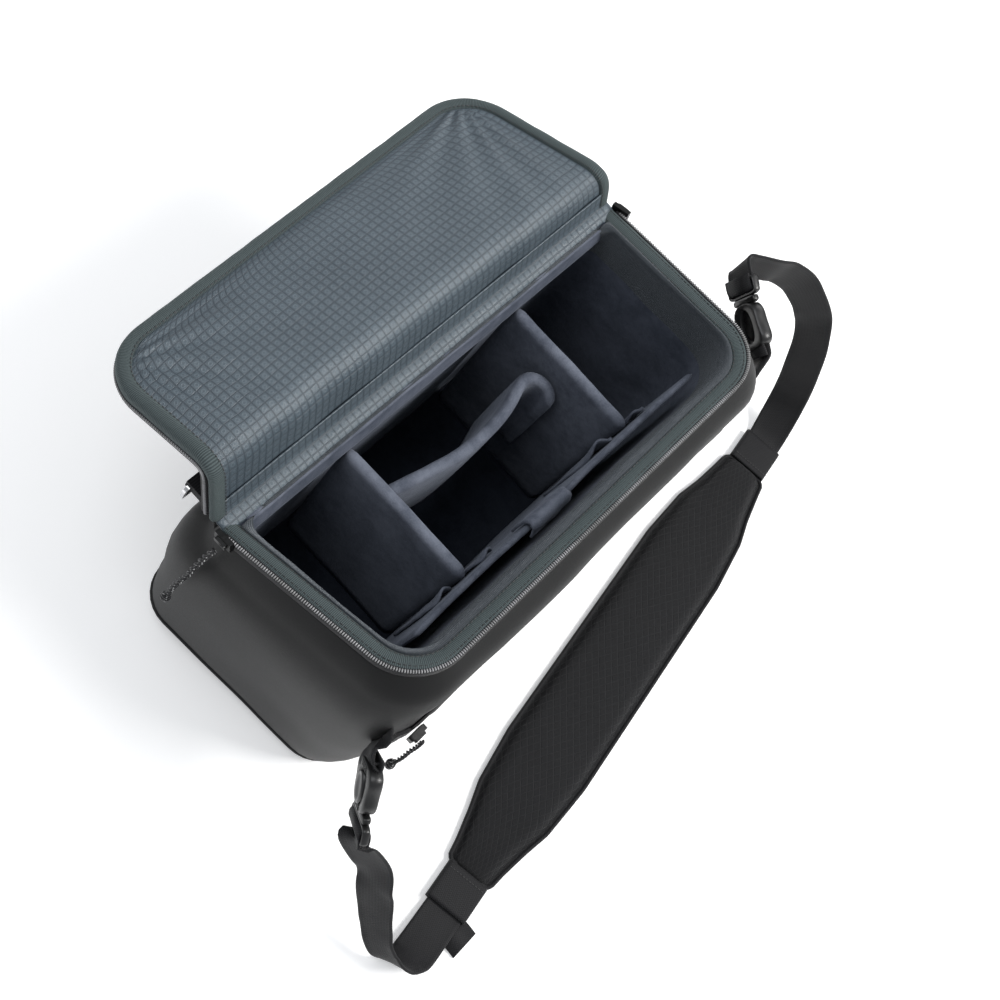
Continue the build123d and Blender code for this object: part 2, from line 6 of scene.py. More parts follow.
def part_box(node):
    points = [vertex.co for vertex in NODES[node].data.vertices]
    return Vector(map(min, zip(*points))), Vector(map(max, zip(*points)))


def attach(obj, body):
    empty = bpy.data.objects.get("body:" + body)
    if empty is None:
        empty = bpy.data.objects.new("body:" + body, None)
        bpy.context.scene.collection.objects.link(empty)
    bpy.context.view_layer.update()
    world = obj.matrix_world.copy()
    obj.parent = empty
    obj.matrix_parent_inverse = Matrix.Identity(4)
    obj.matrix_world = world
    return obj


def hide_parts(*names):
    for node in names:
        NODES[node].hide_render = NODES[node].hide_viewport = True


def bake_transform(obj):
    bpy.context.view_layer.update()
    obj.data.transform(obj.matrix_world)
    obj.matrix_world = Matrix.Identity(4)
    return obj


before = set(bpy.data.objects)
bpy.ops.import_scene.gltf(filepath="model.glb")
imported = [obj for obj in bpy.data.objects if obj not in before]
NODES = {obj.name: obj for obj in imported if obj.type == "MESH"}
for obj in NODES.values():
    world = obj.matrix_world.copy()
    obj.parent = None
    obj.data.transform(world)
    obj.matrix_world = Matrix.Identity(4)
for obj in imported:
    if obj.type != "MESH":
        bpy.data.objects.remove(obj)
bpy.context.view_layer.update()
scene = bpy.context.scene
A = np.array


def unit(v):
    v = A(v, float)
    return v / np.linalg.norm(v)


# ------------------------------------------------------------------ camera
cam = bpy.data.objects.new("camera", bpy.data.cameras.new("camera"))
scene.collection.objects.link(cam)
scene.camera = cam
cam.data.sensor_width, cam.data.lens = 36, 54.06
right, down, fwd = A((0.6576349, -0.66870548, 0.34691399)), A((-0.60227975, -0.7433212, -0.29108881)), A((0.45252121, -0.01751091, -0.89158173))
m4 = np.eye(4); m4[:3, 0], m4[:3, 1], m4[:3, 2] = right, -down, -fwd
m4[:3, 3] = A((-439.71, -8.66, 984.28)) / 1000
cam.matrix_world = Matrix(m4.tolist())
cam.data.clip_start, cam.data.clip_end = .01, 50


# ------------------------------------------------------------------ material kit
class X:
    """A socket that arithmetic can be done on, as Math nodes."""
    def __init__(self, nt, sock): self.nt, self.s = nt, sock
    def m(self, op, *o):
        n = self.nt.nodes.new("ShaderNodeMath"); n.operation = op
        for i, v in enumerate((self,) + o):
            if isinstance(v, X): self.nt.links.new(v.s, n.inputs[i])
            else: n.inputs[i].default_value = v
        return X(self.nt, n.outputs[0])
    def __add__(self, o): return self.m("ADD", o)
    def __sub__(self, o): return self.m("SUBTRACT", o)
    def __mul__(self, o): return self.m("MULTIPLY", o)
    def __truediv__(self, o): return self.m("DIVIDE", o)
    def fr(self): return self.m("FRACT")
    def ab(self): return self.m("ABSOLUTE")
    def sin(self): return self.m("SINE")
    def mx(self, o): return self.m("MAXIMUM", o)
    def mn(self, o): return self.m("MINIMUM", o)
    def step(self, a, b):
        n = self.nt.nodes.new("ShaderNodeMapRange"); n.interpolation_type = "SMOOTHSTEP"
        self.nt.links.new(self.s, n.inputs[0]); n.inputs[1].default_value, n.inputs[2].default_value = a, b
        return X(self.nt, n.outputs[0])


class Mat:
    def __init__(self, name, rough=.8, spec=.3, sheen=0., sheen_rough=.4, sheen_tint=(1, 1, 1), metallic=0.):
        self.m = bpy.data.materials.new(name); self.m.use_nodes = True
        self.nt = self.m.node_tree; self.b = self.nt.nodes["Principled BSDF"]
        I = self.b.inputs
        I["Roughness"].default_value = rough; I["Specular IOR Level"].default_value = spec
        I["Sheen Weight"].default_value = sheen; I["Sheen Roughness"].default_value = sheen_rough
        I["Sheen Tint"].default_value = (*sheen_tint, 1); I["Metallic"].default_value = metallic
    def uv(self):
        n = self.nt.nodes.new("ShaderNodeUVMap"); n.uv_map = "st"
        p = self.nt.nodes.new("ShaderNodeSeparateXYZ"); self.nt.links.new(n.outputs[0], p.inputs[0])
        return X(self.nt, p.outputs[0]) * 1000, X(self.nt, p.outputs[1]) * 1000
    def co(self):
        n = self.nt.nodes.new("ShaderNodeTexCoord")
        return n.outputs["Object"]
    def noise(self, scale, detail=4, rough=.6, dist=0.):
        """Noise with features about 1/scale mm across."""
        n = self.nt.nodes.new("ShaderNodeTexNoise"); self.nt.links.new(self.co(), n.inputs["Vector"])
        n.inputs["Scale"].default_value = scale * 1000; n.inputs["Detail"].default_value = detail
        n.inputs["Roughness"].default_value = rough; n.inputs["Distortion"].default_value = dist
        return X(self.nt, n.outputs[0])
    def voronoi(self, scale):
        n = self.nt.nodes.new("ShaderNodeTexVoronoi"); self.nt.links.new(self.co(), n.inputs["Vector"])
        n.inputs["Scale"].default_value = scale * 1000
        return X(self.nt, n.outputs[0])
    def mix(self, fac, a, b):
        n = self.nt.nodes.new("ShaderNodeMix"); n.data_type = "RGBA"
        self.nt.links.new(fac.s, n.inputs[0])
        for v, i in ((a, 6), (b, 7)):
            if isinstance(v, tuple): n.inputs[i].default_value = (*v, 1)
            else: self.nt.links.new(v, n.inputs[i])
        return n.outputs[2]
    def colour(self, sock): self.nt.links.new(sock, self.b.inputs["Base Color"]); return self
    def rough(self, x): self.nt.links.new(x.s, self.b.inputs["Roughness"]); return self
    def bump(self, h, mm, strength=1.):
        n = self.nt.nodes.new("ShaderNodeBump"); n.inputs["Strength"].default_value = strength
        n.inputs["Distance"].default_value = mm / 1000
        self.nt.links.new(h.s, n.inputs["Height"])
        self.nt.links.new(n.outputs[0], self.b.inputs["Normal"]); return self


TAU = 2 * math.pi


def m_outer(name, base=.0068):
    k = Mat(name, .50, .26, .0, .35)
    g, w, f = k.noise(.9, 3, .7), k.noise(.02, 3, .5), k.voronoi(2.2)
    k.colour(k.mix(w.step(.3, .7), (base * .86, base * .88, base * .92), (base * 1.2, base * 1.21, base * 1.26)))
    k.rough(g * .14 + .48)
    return k.bump(g * .6 + f * .25 + w * 3.0, .10).m


def m_suede(name, a=(.040, .048, .066), b=(.094, .105, .136), fib=1.):
    k = Mat(name, .95, .10, .22, .45, (.62, .68, .8))
    n1, n2, n3 = k.noise(.03, 4, .6, .6), k.noise(1.1, 4, .75), k.noise(.18, 3, .6)
    k.colour(k.mix((n1 * .55 + n2 * .3 + n3 * .25).step(.36, .72), a, b))
    return k.bump(n2 * 1.0 + n3 * 1.4, .22 * fib).m


def m_ripstop(name, p=5.3):
    k = Mat(name, .36, .62, .06, .3, (.7, .85, 1.))
    u, v = k.uv()
    a, b = ((u / p).fr() - .5).ab(), ((v / p).fr() - .5).ab()
    sq = a.mx(b)
    r = (a * a + b * b).m("SQRT")
    line = sq.step(.40, .455)
    ring = r.step(.13, .19) * (r.step(.22, .30) * -1 + 1)
    th = ((u * (TAU / .55)).sin() * (v * (TAU / .55)).sin()).ab()
    w = k.noise(.02, 3, .5)
    k.colour(k.mix((line * -.30 + ring * .26 + th * .14 + w * .3 + .32).step(.0, 1.1), (.030, .042, .054), (.108, .140, .164)))
    k.rough(line * .12 + w * .10 + .30)
    return k.bump((line * -1.) + (ring * .6) + th * .16, .2).m


def m_grosgrain(name, a=(.026, .036, .039), b=(.082, .104, .106), p=1.05):
    k = Mat(name, .74, .25, .15, .35, (.75, .9, .88))
    u, v = k.uv()
    rib = (v * (TAU / p)).sin() * .5 + .5
    th = ((u * (TAU / .7) + (v / p).m("FLOOR") * math.pi).sin() * .5 + .5)
    fl = k.noise(.9, 2, .6)
    k.colour(k.mix((rib * .6 + th * .22 + fl * .3).step(.15, 1.), a, b))
    return k.bump(rib * .8 + th * .35 + fl * .3, .26).m


def m_webbing(name, a=(.0045, .0045, .005), b=(.019, .019, .021)):
    k = Mat(name, .7, .25, .1, .3)
    u, v = k.uv()
    tri = (((u / 2.4).fr() - .5).ab()) * 2.4
    h = (((v + tri) * (TAU / 1.5)).sin() * .5 + .5)
    h2 = ((u * (TAU / .9)).sin() * .5 + .5)
    fl = k.noise(1.2, 2, .6)
    k.colour(k.mix((h * .6 + h2 * .2 + fl * .3).step(.1, 1.), a, b))
    return k.bump(h * .8 + h2 * .35, .12).m


def m_diamond(name, p=5.4, a=(.0045, .0045, .0055), b=(.014, .0145, .016)):
    k = Mat(name, .62, .28, .08, .35)
    u, v = k.uv()
    q = v * .62
    d1, d2 = ((((u + q) / p).fr() - .5).ab()), ((((u - q) / p).fr() - .5).ab())
    line = d1.mx(d2).step(.415, .47)
    th = ((u * (TAU / .8)).sin() * (v * (TAU / .8)).sin()).ab()
    w = k.noise(.03, 3, .5)
    k.colour(k.mix((line * .7 + th * .25 + w * .25).step(.0, 1.1), a, b))
    return k.bump(line * 1.0 + th * .4 + w * .8, .3).m


def m_plastic(name, base=.010, rough=.34):
    k = Mat(name, rough, .5)
    g, w = k.noise(1.6, 3, .6), k.noise(.05, 3, .6)
    k.colour(k.mix(w.step(.3, .7), (base * .8,) * 3, (base * 1.35, base * 1.35, base * 1.4)))
    k.rough(w * .14 + (rough - .05))
    return k.bump(g, .05).m


def m_metal(name, base, rough=.22):
    k = Mat(name, rough, .5, metallic=1.)
    g = k.noise(.6, 3, .6)
    k.colour(k.mix(g.step(.3, .7), tuple(c * .85 for c in base), base))
    k.rough(g * .2 + rough - .06)
    return k.bump(g, .03).m


def m_cord(name):
    k = Mat(name, .62, .35, .3, .3)
    u, v = k.uv()
    f = (((v + u * .9) / 3.4).fr().step(.80, .84)) * ((u / 2.1).fr().step(.45, .55))
    th = ((v * (TAU / .8) + u * 3).sin() * .5 + .5)
    k.colour(k.mix(f, k.mix(th, (.005, .005, .006), (.02, .02, .022)), (.40, .40, .40)))
    return k.bump(th, .22).m


def m_mesh(name):
    k = Mat(name, .9, .2, .4, .4, (.7, .75, .8))
    u, v = k.uv()
    h = ((u * (TAU / 1.6) + v * (TAU / 1.6)).sin() * (u * (TAU / 1.6) - v * (TAU / 1.6)).sin())
    fl = k.noise(.3, 3, .6)
    k.colour(k.mix((h * .4 + fl * .7).step(.1, .9), (.030, .036, .043), (.078, .088, .100)))
    return k.bump(h + fl, .25).m


# divider suede: the cloth's own blue-grey, brightened well above the wall suede as painted light for the lit sleeve
# and divider faces
MAT = dict(outer=m_outer("coated_fabric"), suede=m_suede("lining_suede"), suede2=m_suede("divider_suede_painted_light", (.056, .064, .085), (.140, .154, .190)),
           # floor suede: the lining suede made about four times darker, painted shade standing in for the shade deep
           # inside the bag
           floor_=m_suede("lining_floor_painted_shade", (.010, .012, .018), (.024, .029, .040)), rip=m_ripstop("lid_ripstop_lining"),
           gros=m_grosgrain("grosgrain_binding"), web=m_webbing("strap_webbing_weave"), dia=m_diamond("pad_ripstop"),
           plas=m_plastic("black_acetal"), button=m_plastic("button_acetal", .014, .28), zmet=m_metal("black_zip_metal", (.05, .05, .05), .3),
           # zip coil: its light grey base colour is a painted highlight standing in for the whitish glints on the
           # black nylon teeth
           steel=m_metal("plated_steel", (.78, .78, .79), .16), coil=m_plastic("zip_coil_painted_highlight", .20, .26), tape=m_webbing("zip_tape", (.006, .006, .007), (.02, .02, .022)),
           cord=m_cord("pull_cord_braid"), mesh=m_mesh("mesh_lining"), thread=m_plastic("thread", .045, .6),
           bthread=m_plastic("black_thread", .012, .6))
MAT["pocket"] = m_mesh("mesh_back")


# ------------------------------------------------------------------ mesh kit
def mesh(name, V, F, UV, mat, body, smooth=True):
    me = bpy.data.meshes.new(name)
    me.from_pydata((A(V) / 1000).tolist(), [], F)
    me.polygons.foreach_set("use_smooth", [smooth] * len(me.polygons))
    lay = me.uv_layers.new(name="st")
    lay.data.foreach_set("uv", (A([c for f in UV for p in f for c in p]) / 1000).astype(np.float32))
    mats = mat if isinstance(mat, (list, tuple)) else [mat]
    for x in mats: me.materials.append(MAT[x])
    ob = bpy.data.objects.new(name, me)
    scene.collection.objects.link(ob)
    if body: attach(ob, body)
    return ob


def grid(name, G, mat, body, closed=False, cap0=False, cap1=False, flip=False):
    """G[row][col] points; closed joins the last column to the first."""
    G = A(G, float); R, C = G.shape[:2]
    GG = np.concatenate([G, G[:, :1]], 1) if closed else G
    u = np.concatenate([[0], np.cumsum(np.linalg.norm(np.diff(GG, axis=1), axis=2).mean(0))])
    v = np.concatenate([[0], np.cumsum(np.linalg.norm(np.diff(G, axis=0), axis=2).mean(1))])
    F, UV = [], []
    for i in range(R - 1):
        for j in range(C if closed else C - 1):
            k = (j + 1) % C
            f = [i * C + j, i * C + k, (i + 1) * C + k, (i + 1) * C + j]
            t = [(u[j], v[i]), (u[j + 1], v[i]), (u[j + 1], v[i + 1]), (u[j], v[i + 1])]
            F.append(f[::-1] if flip else f); UV.append(t[::-1] if flip else t)
    V = G.reshape(-1, 3).tolist()
    for on, i in ((cap0, 0), (cap1, R - 1)):
        if on:
            V.append(G[i].mean(0).tolist())
            for j in range(C):
                k = (j + 1) % C
                f = [i * C + j, len(V) - 1, i * C + k]
                if i: f = f[::-1]
                F.append(f[::-1] if flip else f); UV.append([(V[a][0], V[a][1]) for a in F[-1]])
    return mesh(name, V, F, UV, mat, body)


def thick(ob, mm, offset=-1):
    s = ob.modifiers.new("thickness", "SOLIDIFY"); s.thickness = mm / 1000; s.offset = offset
    return ob


def rounded(P, R, k=9, m=(20, 10), closed=True):
    """Polyline with rounded corners: k points on each arc, m on each side in turn."""
    n = len(P); P = [A(p, float) for p in P]; arcs = []
    for i in range(n):
        if (not closed and i in (0, n - 1)) or R[i] <= 0:
            arcs.append([P[i]]); continue
        a, b = unit(P[i - 1] - P[i]), unit(P[(i + 1) % n] - P[i])
        th = math.acos(float(np.clip(a @ b, -1, 1)))
        c = P[i] + unit(a + b) * R[i] / math.sin(th / 2)
        s0 = P[i] + a * R[i] / math.tan(th / 2) - c; s1 = P[i] + b * R[i] / math.tan(th / 2) - c
        om = math.acos(float(np.clip(unit(s0) @ unit(s1), -1, 1)))
        arcs.append([c + (s0 * math.sin((1 - q) * om) + s1 * math.sin(q * om)) / math.sin(om) for q in np.linspace(0, 1, k)])
    out = []
    for i in range(n):
        out += arcs[i]
        if i < n - 1 or closed:
            a, b = arcs[i][-1], arcs[(i + 1) % n][0]
            mm = m[i % len(m)]
            out += [a + (b - a) * q for q in np.linspace(0, 1, mm + 2)[1:-1]]
    return A(out)


def resample(P, step):
    P = A(P, float); d = np.concatenate([[0], np.cumsum(np.linalg.norm(np.diff(P, axis=0), axis=1))])
    n = max(2, int(round(d[-1] / step)) + 1); t = np.linspace(0, d[-1], n)
    return np.stack([np.interp(t, d, P[:, i]) for i in range(P.shape[1])], 1)


def catmull(K, sub):
    """Smooth rows through control rows K (n, ...)."""
    K = A(K, float); out = []
    for i in range(len(K) - 1):
        p0, p1, p2, p3 = K[max(i - 1, 0)], K[i], K[i + 1], K[min(i + 2, len(K) - 1)]
        for q in np.linspace(0, 1, sub, endpoint=False):
            out.append(.5 * (2 * p1 + (p2 - p0) * q + (2 * p0 - 5 * p1 + 4 * p2 - p3) * q * q + (3 * p1 - p0 - 3 * p2 + p3) * q ** 3))
    out.append(K[-1]); return A(out)


def normals(G, closed=False):
    if closed: du = np.roll(G, -1, 1) - np.roll(G, 1, 1)
    else: du = np.gradient(G, axis=1)
    n = np.cross(du, np.gradient(G, axis=0))
    return n / np.maximum(np.linalg.norm(n, axis=2, keepdims=True), 1e-9)


def nz(p, s, seed=0.):
    return noise.noise(Vector((p[0] / s + seed, p[1] / s + seed * 1.7, p[2] / s - seed)))


def rough_up(G, amp, scale, seed=0., closed=False):
    N_ = normals(G, closed)
    D = A([[nz(p, scale, seed) for p in row] for row in G])[..., None]
    return G + N_ * D * amp


def sweep(name, P, W, H, sec, mat, body, caps=True):
    """sec(i, q): (k, 2) outline at path point i, q from 0 to 1, in axes W and H."""
    P, W, H = A(P, float), A(W, float), A(H, float); n = len(P)
    G = []
    for i in range(n):
        s_ = sec(i, i / (n - 1)); G.append(P[i] + s_[:, :1] * W[i] + s_[:, 1:] * H[i])
    return grid(name, G, mat, body, closed=True, cap0=caps, cap1=caps)


def oval_sec(a, b, k=20, e=2.):
    t = np.linspace(0, TAU, k, endpoint=False)
    return np.stack([a * np.sign(np.cos(t)) * np.abs(np.cos(t)) ** (2 / e), b * np.sign(np.sin(t)) * np.abs(np.sin(t)) ** (2 / e)], 1)


def tangents(P):
    T = np.gradient(A(P, float), axis=0)
    return T / np.linalg.norm(T, axis=1, keepdims=True)


def bits(name, P, T, Nn, size, mat, body, pitch=None):
    """Small rounded blocks along a line: size = along, across (side), up."""
    P, T, Nn = A(P, float), A(T, float), A(Nn, float); V, F, UV = [], [], []
    a, b, h = [x / 2 for x in size]
    ring = [(-a, -b * .6), (-a * .6, -b), (a * .6, -b), (a, -b * .6), (a, b * .6), (a * .6, b), (-a * .6, b), (-a, b * .6)]
    for p, t, n in zip(P, T, Nn):
        t, n = unit(t), unit(n); s_ = np.cross(t, n); o = len(V)
        for z, q in ((-h, .8), (h * .35, 1.), (h, .62)):
            for x, y in ring: V.append((p + t * x * q + s_ * y * q + n * z).tolist())
        for l in (0, 1):
            for i in range(8):
                j = (i + 1) % 8; F.append([o + l * 8 + i, o + l * 8 + j, o + l * 8 + 8 + j, o + l * 8 + 8 + i])
        F.append([o + 16 + i for i in range(8)]); F.append([o + i for i in range(7, -1, -1)])
    UV = [[(V[q][0], V[q][1]) for q in f] for f in F]
    return mesh(name, V, F, UV, mat, body)


# ------------------------------------------------------------------ frame geometry, mm
TILT = 12.6; c, s = math.cos(math.radians(TILT)), math.sin(math.radians(TILT))
HY, HZ, DEPTH = 73., 180., 149.5
RO, RY, RZ = A((0, HY, HZ)), A((0, c, -s)), A((0, s, c))


def rim(x, y, z=0.):
    """Rim plane to space."""
    return RO + A((x, 0, 0)) + RY * y + RZ * z


def tilted(z, t):
    t = math.radians(t)
    return (A((0, 0, z)), A((0, math.cos(t), -math.sin(t))))


def rimoff(h): return (RO + RZ * h, RY)


def ring(row, inset=0., m=(26, 12), k=9):
    (o, y_), nw, ny, fw, fy, rn, rf = row
    n, f = nw / 2 - inset, fw / 2 - inset
    q = rounded([(-n, ny + inset), (n, ny + inset), (f, fy - inset), (-f, fy - inset)],
                [max(rn - inset, 1)] * 2 + [max(rf - inset, 1)] * 2, k, m)
    return A([o + A((x, 0, 0)) + y_ * y for x, y in q])


OUTER = [(tilted(0, 0), 356, -73, 366, 84, 28, 24), (tilted(28, 1.5), 366, -87, 386, 91, 32, 28), (tilted(92, 6.), 370, -92, 388, 95, 37, 32),
         (tilted(148, 9.5), 368, -89, 386, 96, 37, 32), (rimoff(-22), 352, -159, 368, 12, 40, 26), (rimoff(-6), 332, -150, 351, .5, 38.5, 12.5)]

# ------------------------------------------------------------------ cords first
PULLS = dict(
    left=[(-183.6, 62.0, 177.6), (-190.0, 63.6, 165.0), (-197.4, 63.0, 151.0), (-201.0, 65.4, 136.0), (-204.0, 65.0, 121.0)],
    back=[(-155.5, -99.4, 139.0), (-156.4, -100.4, 130.0), (-159.6, -99.8, 121.0), (-163.0, -100.6, 112.0), (-165.6, -99.8, 103.0)],
    front=[(120.5, 107.0, 131.0), (121.4, 108.0, 122.0), (120.6, 107.4, 113.0), (122.0, 108.2, 104.0), (121.6, 107.4, 95.0)])
PULLS["right"] = [(-x, y, z) for x, y, z in PULLS["left"]]


def spline_points(pts):
    cu = bpy.data.curves.new("guide", "CURVE"); cu.dimensions = "3D"; cu.resolution_u = 24
    sp = cu.splines.new("NURBS"); sp.points.add(len(pts) - 1)
    for q, p in zip(sp.points, pts): q.co = (p[0] / 1000, p[1] / 1000, p[2] / 1000, 1)
    sp.order_u = 3; sp.use_endpoint_u = True
    ob = bpy.data.objects.new("guide", cu); scene.collection.objects.link(ob); bpy.context.view_layer.update()
    me = bpy.data.meshes.new_from_object(ob); P = A([v.co[:] for v in me.vertices]) * 1000
    bpy.data.objects.remove(ob); bpy.data.meshes.remove(me); bpy.data.curves.remove(cu)
    return P


for key, pts in PULLS.items():
    main = key in ("left", "right"); D = 4.0 if main else 3.2
    body = ("pull_" + key) if main else key + "_pull"
    cn, en = ("pull_cord_" + key, "pull_end_" + key) if main else (key + "_pull_cord", key + "_pull_end")
    P0 = spline_points(pts); P = resample(P0, .6); T = tangents(P); n = len(P)
    ref = A((0, 1, 0)) if main else A((1, 0, 0))
    W = A([unit(ref - t * (ref @ t)) for t in T]); H = np.cross(T, W)
    V, F, UV = [], [], []
    rs = D / 4 * 1.02
    for k2 in range(2):
        o = len(V); K = 10
        for i in range(n):
            a = i * .6 / (D * 2.3) * TAU + k2 * math.pi
            ctr = P[i] + (W[i] * math.cos(a) + H[i] * math.sin(a)) * D / 4
            for j in range(K):
                b = j / K * TAU
                V.append((ctr + (W[i] * math.cos(b) + H[i] * math.sin(b)) * rs).tolist())
        for i in range(n - 1):
            for j in range(K):
                j2 = (j + 1) % K
                F.append([o + i * K + j, o + i * K + j2, o + (i + 1) * K + j2, o + (i + 1) * K + j])
                UV.append([(j * .55, i * .6), ((j + 1) * .55, i * .6), ((j + 1) * .55, i * .6 + .6), (j * .55, i * .6 + .6)])
        F.append([o + j for j in range(K - 1, -1, -1)]); UV.append([(0, 0)] * K)
        F.append([o + (n - 1) * K + j for j in range(K)]); UV.append([(0, 0)] * K)
    cord = mesh(key + "_pull_twist", V, F, UV, "cord", body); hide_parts(cn)
    # knot: three snug wraps
    d = unit(A(pts[-1]) - A(pts[-2])); w = unit(ref - d * (ref @ d)); h = np.cross(d, w)
    V, F, UV = [], [], []
    K, n2 = 12, 90
    for i in range(n2):
        q = i / (n2 - 1); a = q * TAU * 3.2; R_ = 1.9 * (.45 + .55 * math.sin(math.pi * min(max(q, .08), .92)))
        z = .8 + q * 6.4 + .5 * math.sin(a)
        ctr = A(pts[-1]) + d * z + (w * math.cos(a) + h * math.sin(a)) * R_
        tg = unit(d * (6.4 / (3.2 * TAU)) + (-w * math.sin(a) + h * math.cos(a)) * R_); nn = unit(np.cross(tg, d)); bb = np.cross(tg, nn)
        for j in range(K):
            b = j / K * TAU; V.append((ctr + (nn * math.cos(b) + bb * math.sin(b)) * 1.45).tolist())
    for i in range(n2 - 1):
        for j in range(K):
            j2 = (j + 1) % K; F.append([i * K + j, i * K + j2, (i + 1) * K + j2, (i + 1) * K + j])
            UV.append([(j * .7, i * .5), (j * .7 + .7, i * .5), (j * .7 + .7, i * .5 + .5), (j * .7, i * .5 + .5)])
    F.append(list(range(K - 1, -1, -1))); UV.append([(0, 0)] * K); F.append([(n2 - 1) * K + j for j in range(K)]); UV.append([(0, 0)] * K)
    kn = mesh(key + "_pull_knot", V, F, UV, "cord", body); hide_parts(en)
    (P0[0] / 1000).tolist()
    D / 1000
    (P / 1000).tolist()

# ------------------------------------------------------------------ outer shell
rows = [ring((tilted(0, 0), *OUTER[0][1:]), 16), ring((tilted(.2, 0), *OUTER[0][1:]), 7), ring((tilted(2.4, 0), *OUTER[0][1:]), 1.8),
        ring((tilted(10, .4), 360, -79, 373.5, 86.8, 29.5, 25.5))] + [ring(r) for r in OUTER[1:]]
G = catmull(rows, 9)
G = np.concatenate([G, [ring((rimoff(-5.4), *OUTER[-1][1:]), 1.0), ring((rimoff(-6.5), *OUTER[-1][1:]), 2.2), ring((rimoff(-12), *OUTER[-1][1:]), 3.)]])
Nrm = normals(G, True)
SH = G.copy()
amp = np.clip(np.minimum(G[..., 2] / 30, 1), 0, 1) * np.clip((len(G) - 6 - np.arange(len(G)))[:, None] / 8., 0, 1)
big = A([[nz(p, 85, 3.1) * 2.4 + nz(p, 34, 9.2) * .7 for p in r] for r in G])
crease = A([[math.exp(-((abs(p[0]) - 168) / 13) ** 2) * math.sin(p[2] / 8.5 + p[0] * .02) * .5 * (1 if p[1] > 40 else .3) for p in r] for r in G])
SH = G + Nrm * (amp * (big * .8 - .3 + crease))[..., None]
shell = grid("bag_shell", SH, "outer", "bag", closed=True, cap0=True)
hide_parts("base_panel", "back_panel", "front_panel", "left_end_panel", "right_end_panel")


def shell_line(zf, j0=None):
    """Points of the shell where z - zf(p) changes sign, one per column."""
    out = []
    for j in range(SH.shape[1]):
        col = SH[4:, j]; f = A([p[2] - zf(p) for p in col]); i = int(np.argmax(f > 0))
        if i == 0: out.append(col[0]); continue
        q = -f[i - 1] / (f[i] - f[i - 1]); out.append(col[i - 1] * (1 - q) + col[i] * q)
    return A(out)


def outward(P):
    """Horizontal outward direction at points round the shell."""
    T = np.roll(P, -1, 0) - np.roll(P, 1, 0); n = np.cross(T, A((0, 0, 1.)))
    return n / np.linalg.norm(n, axis=1, keepdims=True)


# piped seam low round the body; the welt line above the back pocket is traced but nothing is built on it
low = shell_line(lambda p: 17 + .03 * p[1]); on = outward(low)
P = np.concatenate([low + on * .3, (low + on * .3)[:1]]); W_ = np.concatenate([on, on[:1]])
sweep("base_piping", P, W_, np.tile(A((0, 0, 1.)), (len(P), 1)), lambda i, q: oval_sec(1.5, 2.0, 10), "outer", "bag", caps=False)
top = shell_line(lambda p: 168 + .12 * (-p[1])); tn = outward(top)
keep_ = [i for i in range(len(top)) if top[i][1] < 60]
st = A([top[i] + tn[i] * .25 for i in range(len(top)) if top[i][1] < 30 or abs(top[i][0]) > 176])
order = np.argsort(np.arctan2(st[:, 1] + 8, -st[:, 0]) % TAU) if False else None


def stitches(name, P, Nn, body, mat="bthread", pitch=3.2, size=(2.1, .55, .5)):
    P = A(P, float); R_ = resample(np.concatenate([P, A(Nn)], 1), pitch)
    return bits(name, R_[:, :3], tangents(R_[:, :3]), R_[:, 3:], size, mat, body)


# ------------------------------------------------------------------ inner walls
CAV = [(tilted(9, 0), 322, -60, 334, 65.5, 29, 12), (rimoff(6), 307, -137.5, 325, -10, 27, 12)]
b0, b1 = ring(CAV[0], 0), ring(CAV[1], 0)
zt = 1 - 8.5 / 195
lv = [0, .02, .06] + list(np.linspace(.12, zt, 26))
G = []
for q in lv:
    r = b0 * (1 - q) + b1 * q
    cen = r.mean(0)
    sh = 1 - .03 * max(0, (.06 - q)) / .06
    r = cen + (r - cen) * sh
    bow = .0 if q < .05 else math.sin(math.pi * min(q, 1)) * 1.4
    d = (cen - r); d[:, 2] = 0; d /= np.linalg.norm(d, axis=1, keepdims=True)
    r = r + d * bow * A([.5 + .5 * nz(p, 40, 5) for p in r])[:, None]
    G.append(r)
G = rough_up(A(G), 1.0, 26, 4.2, True)
top_in = ring((rimoff(-1.6), 331, -149.5, 350, 0, 38, 12), 10.6)
G = np.concatenate([G, [top_in * .5 + G[-1] * .5, top_in]])
liner = grid("padded_walls", G, ["suede", "mesh", "floor_"], "bag", closed=True, cap0=False, flip=True)
C_ = G.shape[1]
for i, p in enumerate(liner.data.polygons):
    p.material_index = 1 if i // C_ >= len(G) - 8 else 0
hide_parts("liner_back", "liner_front", "liner_left", "liner_right")
thick(liner, 1.6, 1)
fl = []
for q in (0, .25, .5, .75, .9, .97, 1):
    r = A((0, 2.5, 9.0)) + (b0 - A((0, 2.5, 9.0))) * q
    r[:, 2] = 9.6 + 1.6 * (1 - q ** 4) + A([nz(p, 45, 8) for p in r]) * .9 * (1 - q ** 3)
    fl.append(r)
# the padded floor takes the darkened suede copy: painted shade
flo = grid("padded_floor", A(fl[1:]), "floor_", "bag", closed=True, cap0=True)
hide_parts("liner_base")


# ------------------------------------------------------------------ rim: binding, tape and coil
def rim_path(inset, step, y0=-4., r=38.):
    n, f = 331 / 2 - inset, 350 / 2 - inset
    k = (n - f) / (DEPTH - inset)
    q = rounded([(-f - k * y0, y0), (-n, -DEPTH + inset), (n, -DEPTH + inset), (f + k * y0, y0)], [0, r - inset, r - inset, 0], 16, (14, 30, 14), False)
    q = resample(q, step); t = tangents(q); return q, np.stack([t[:, 1], -t[:, 0]], 1)


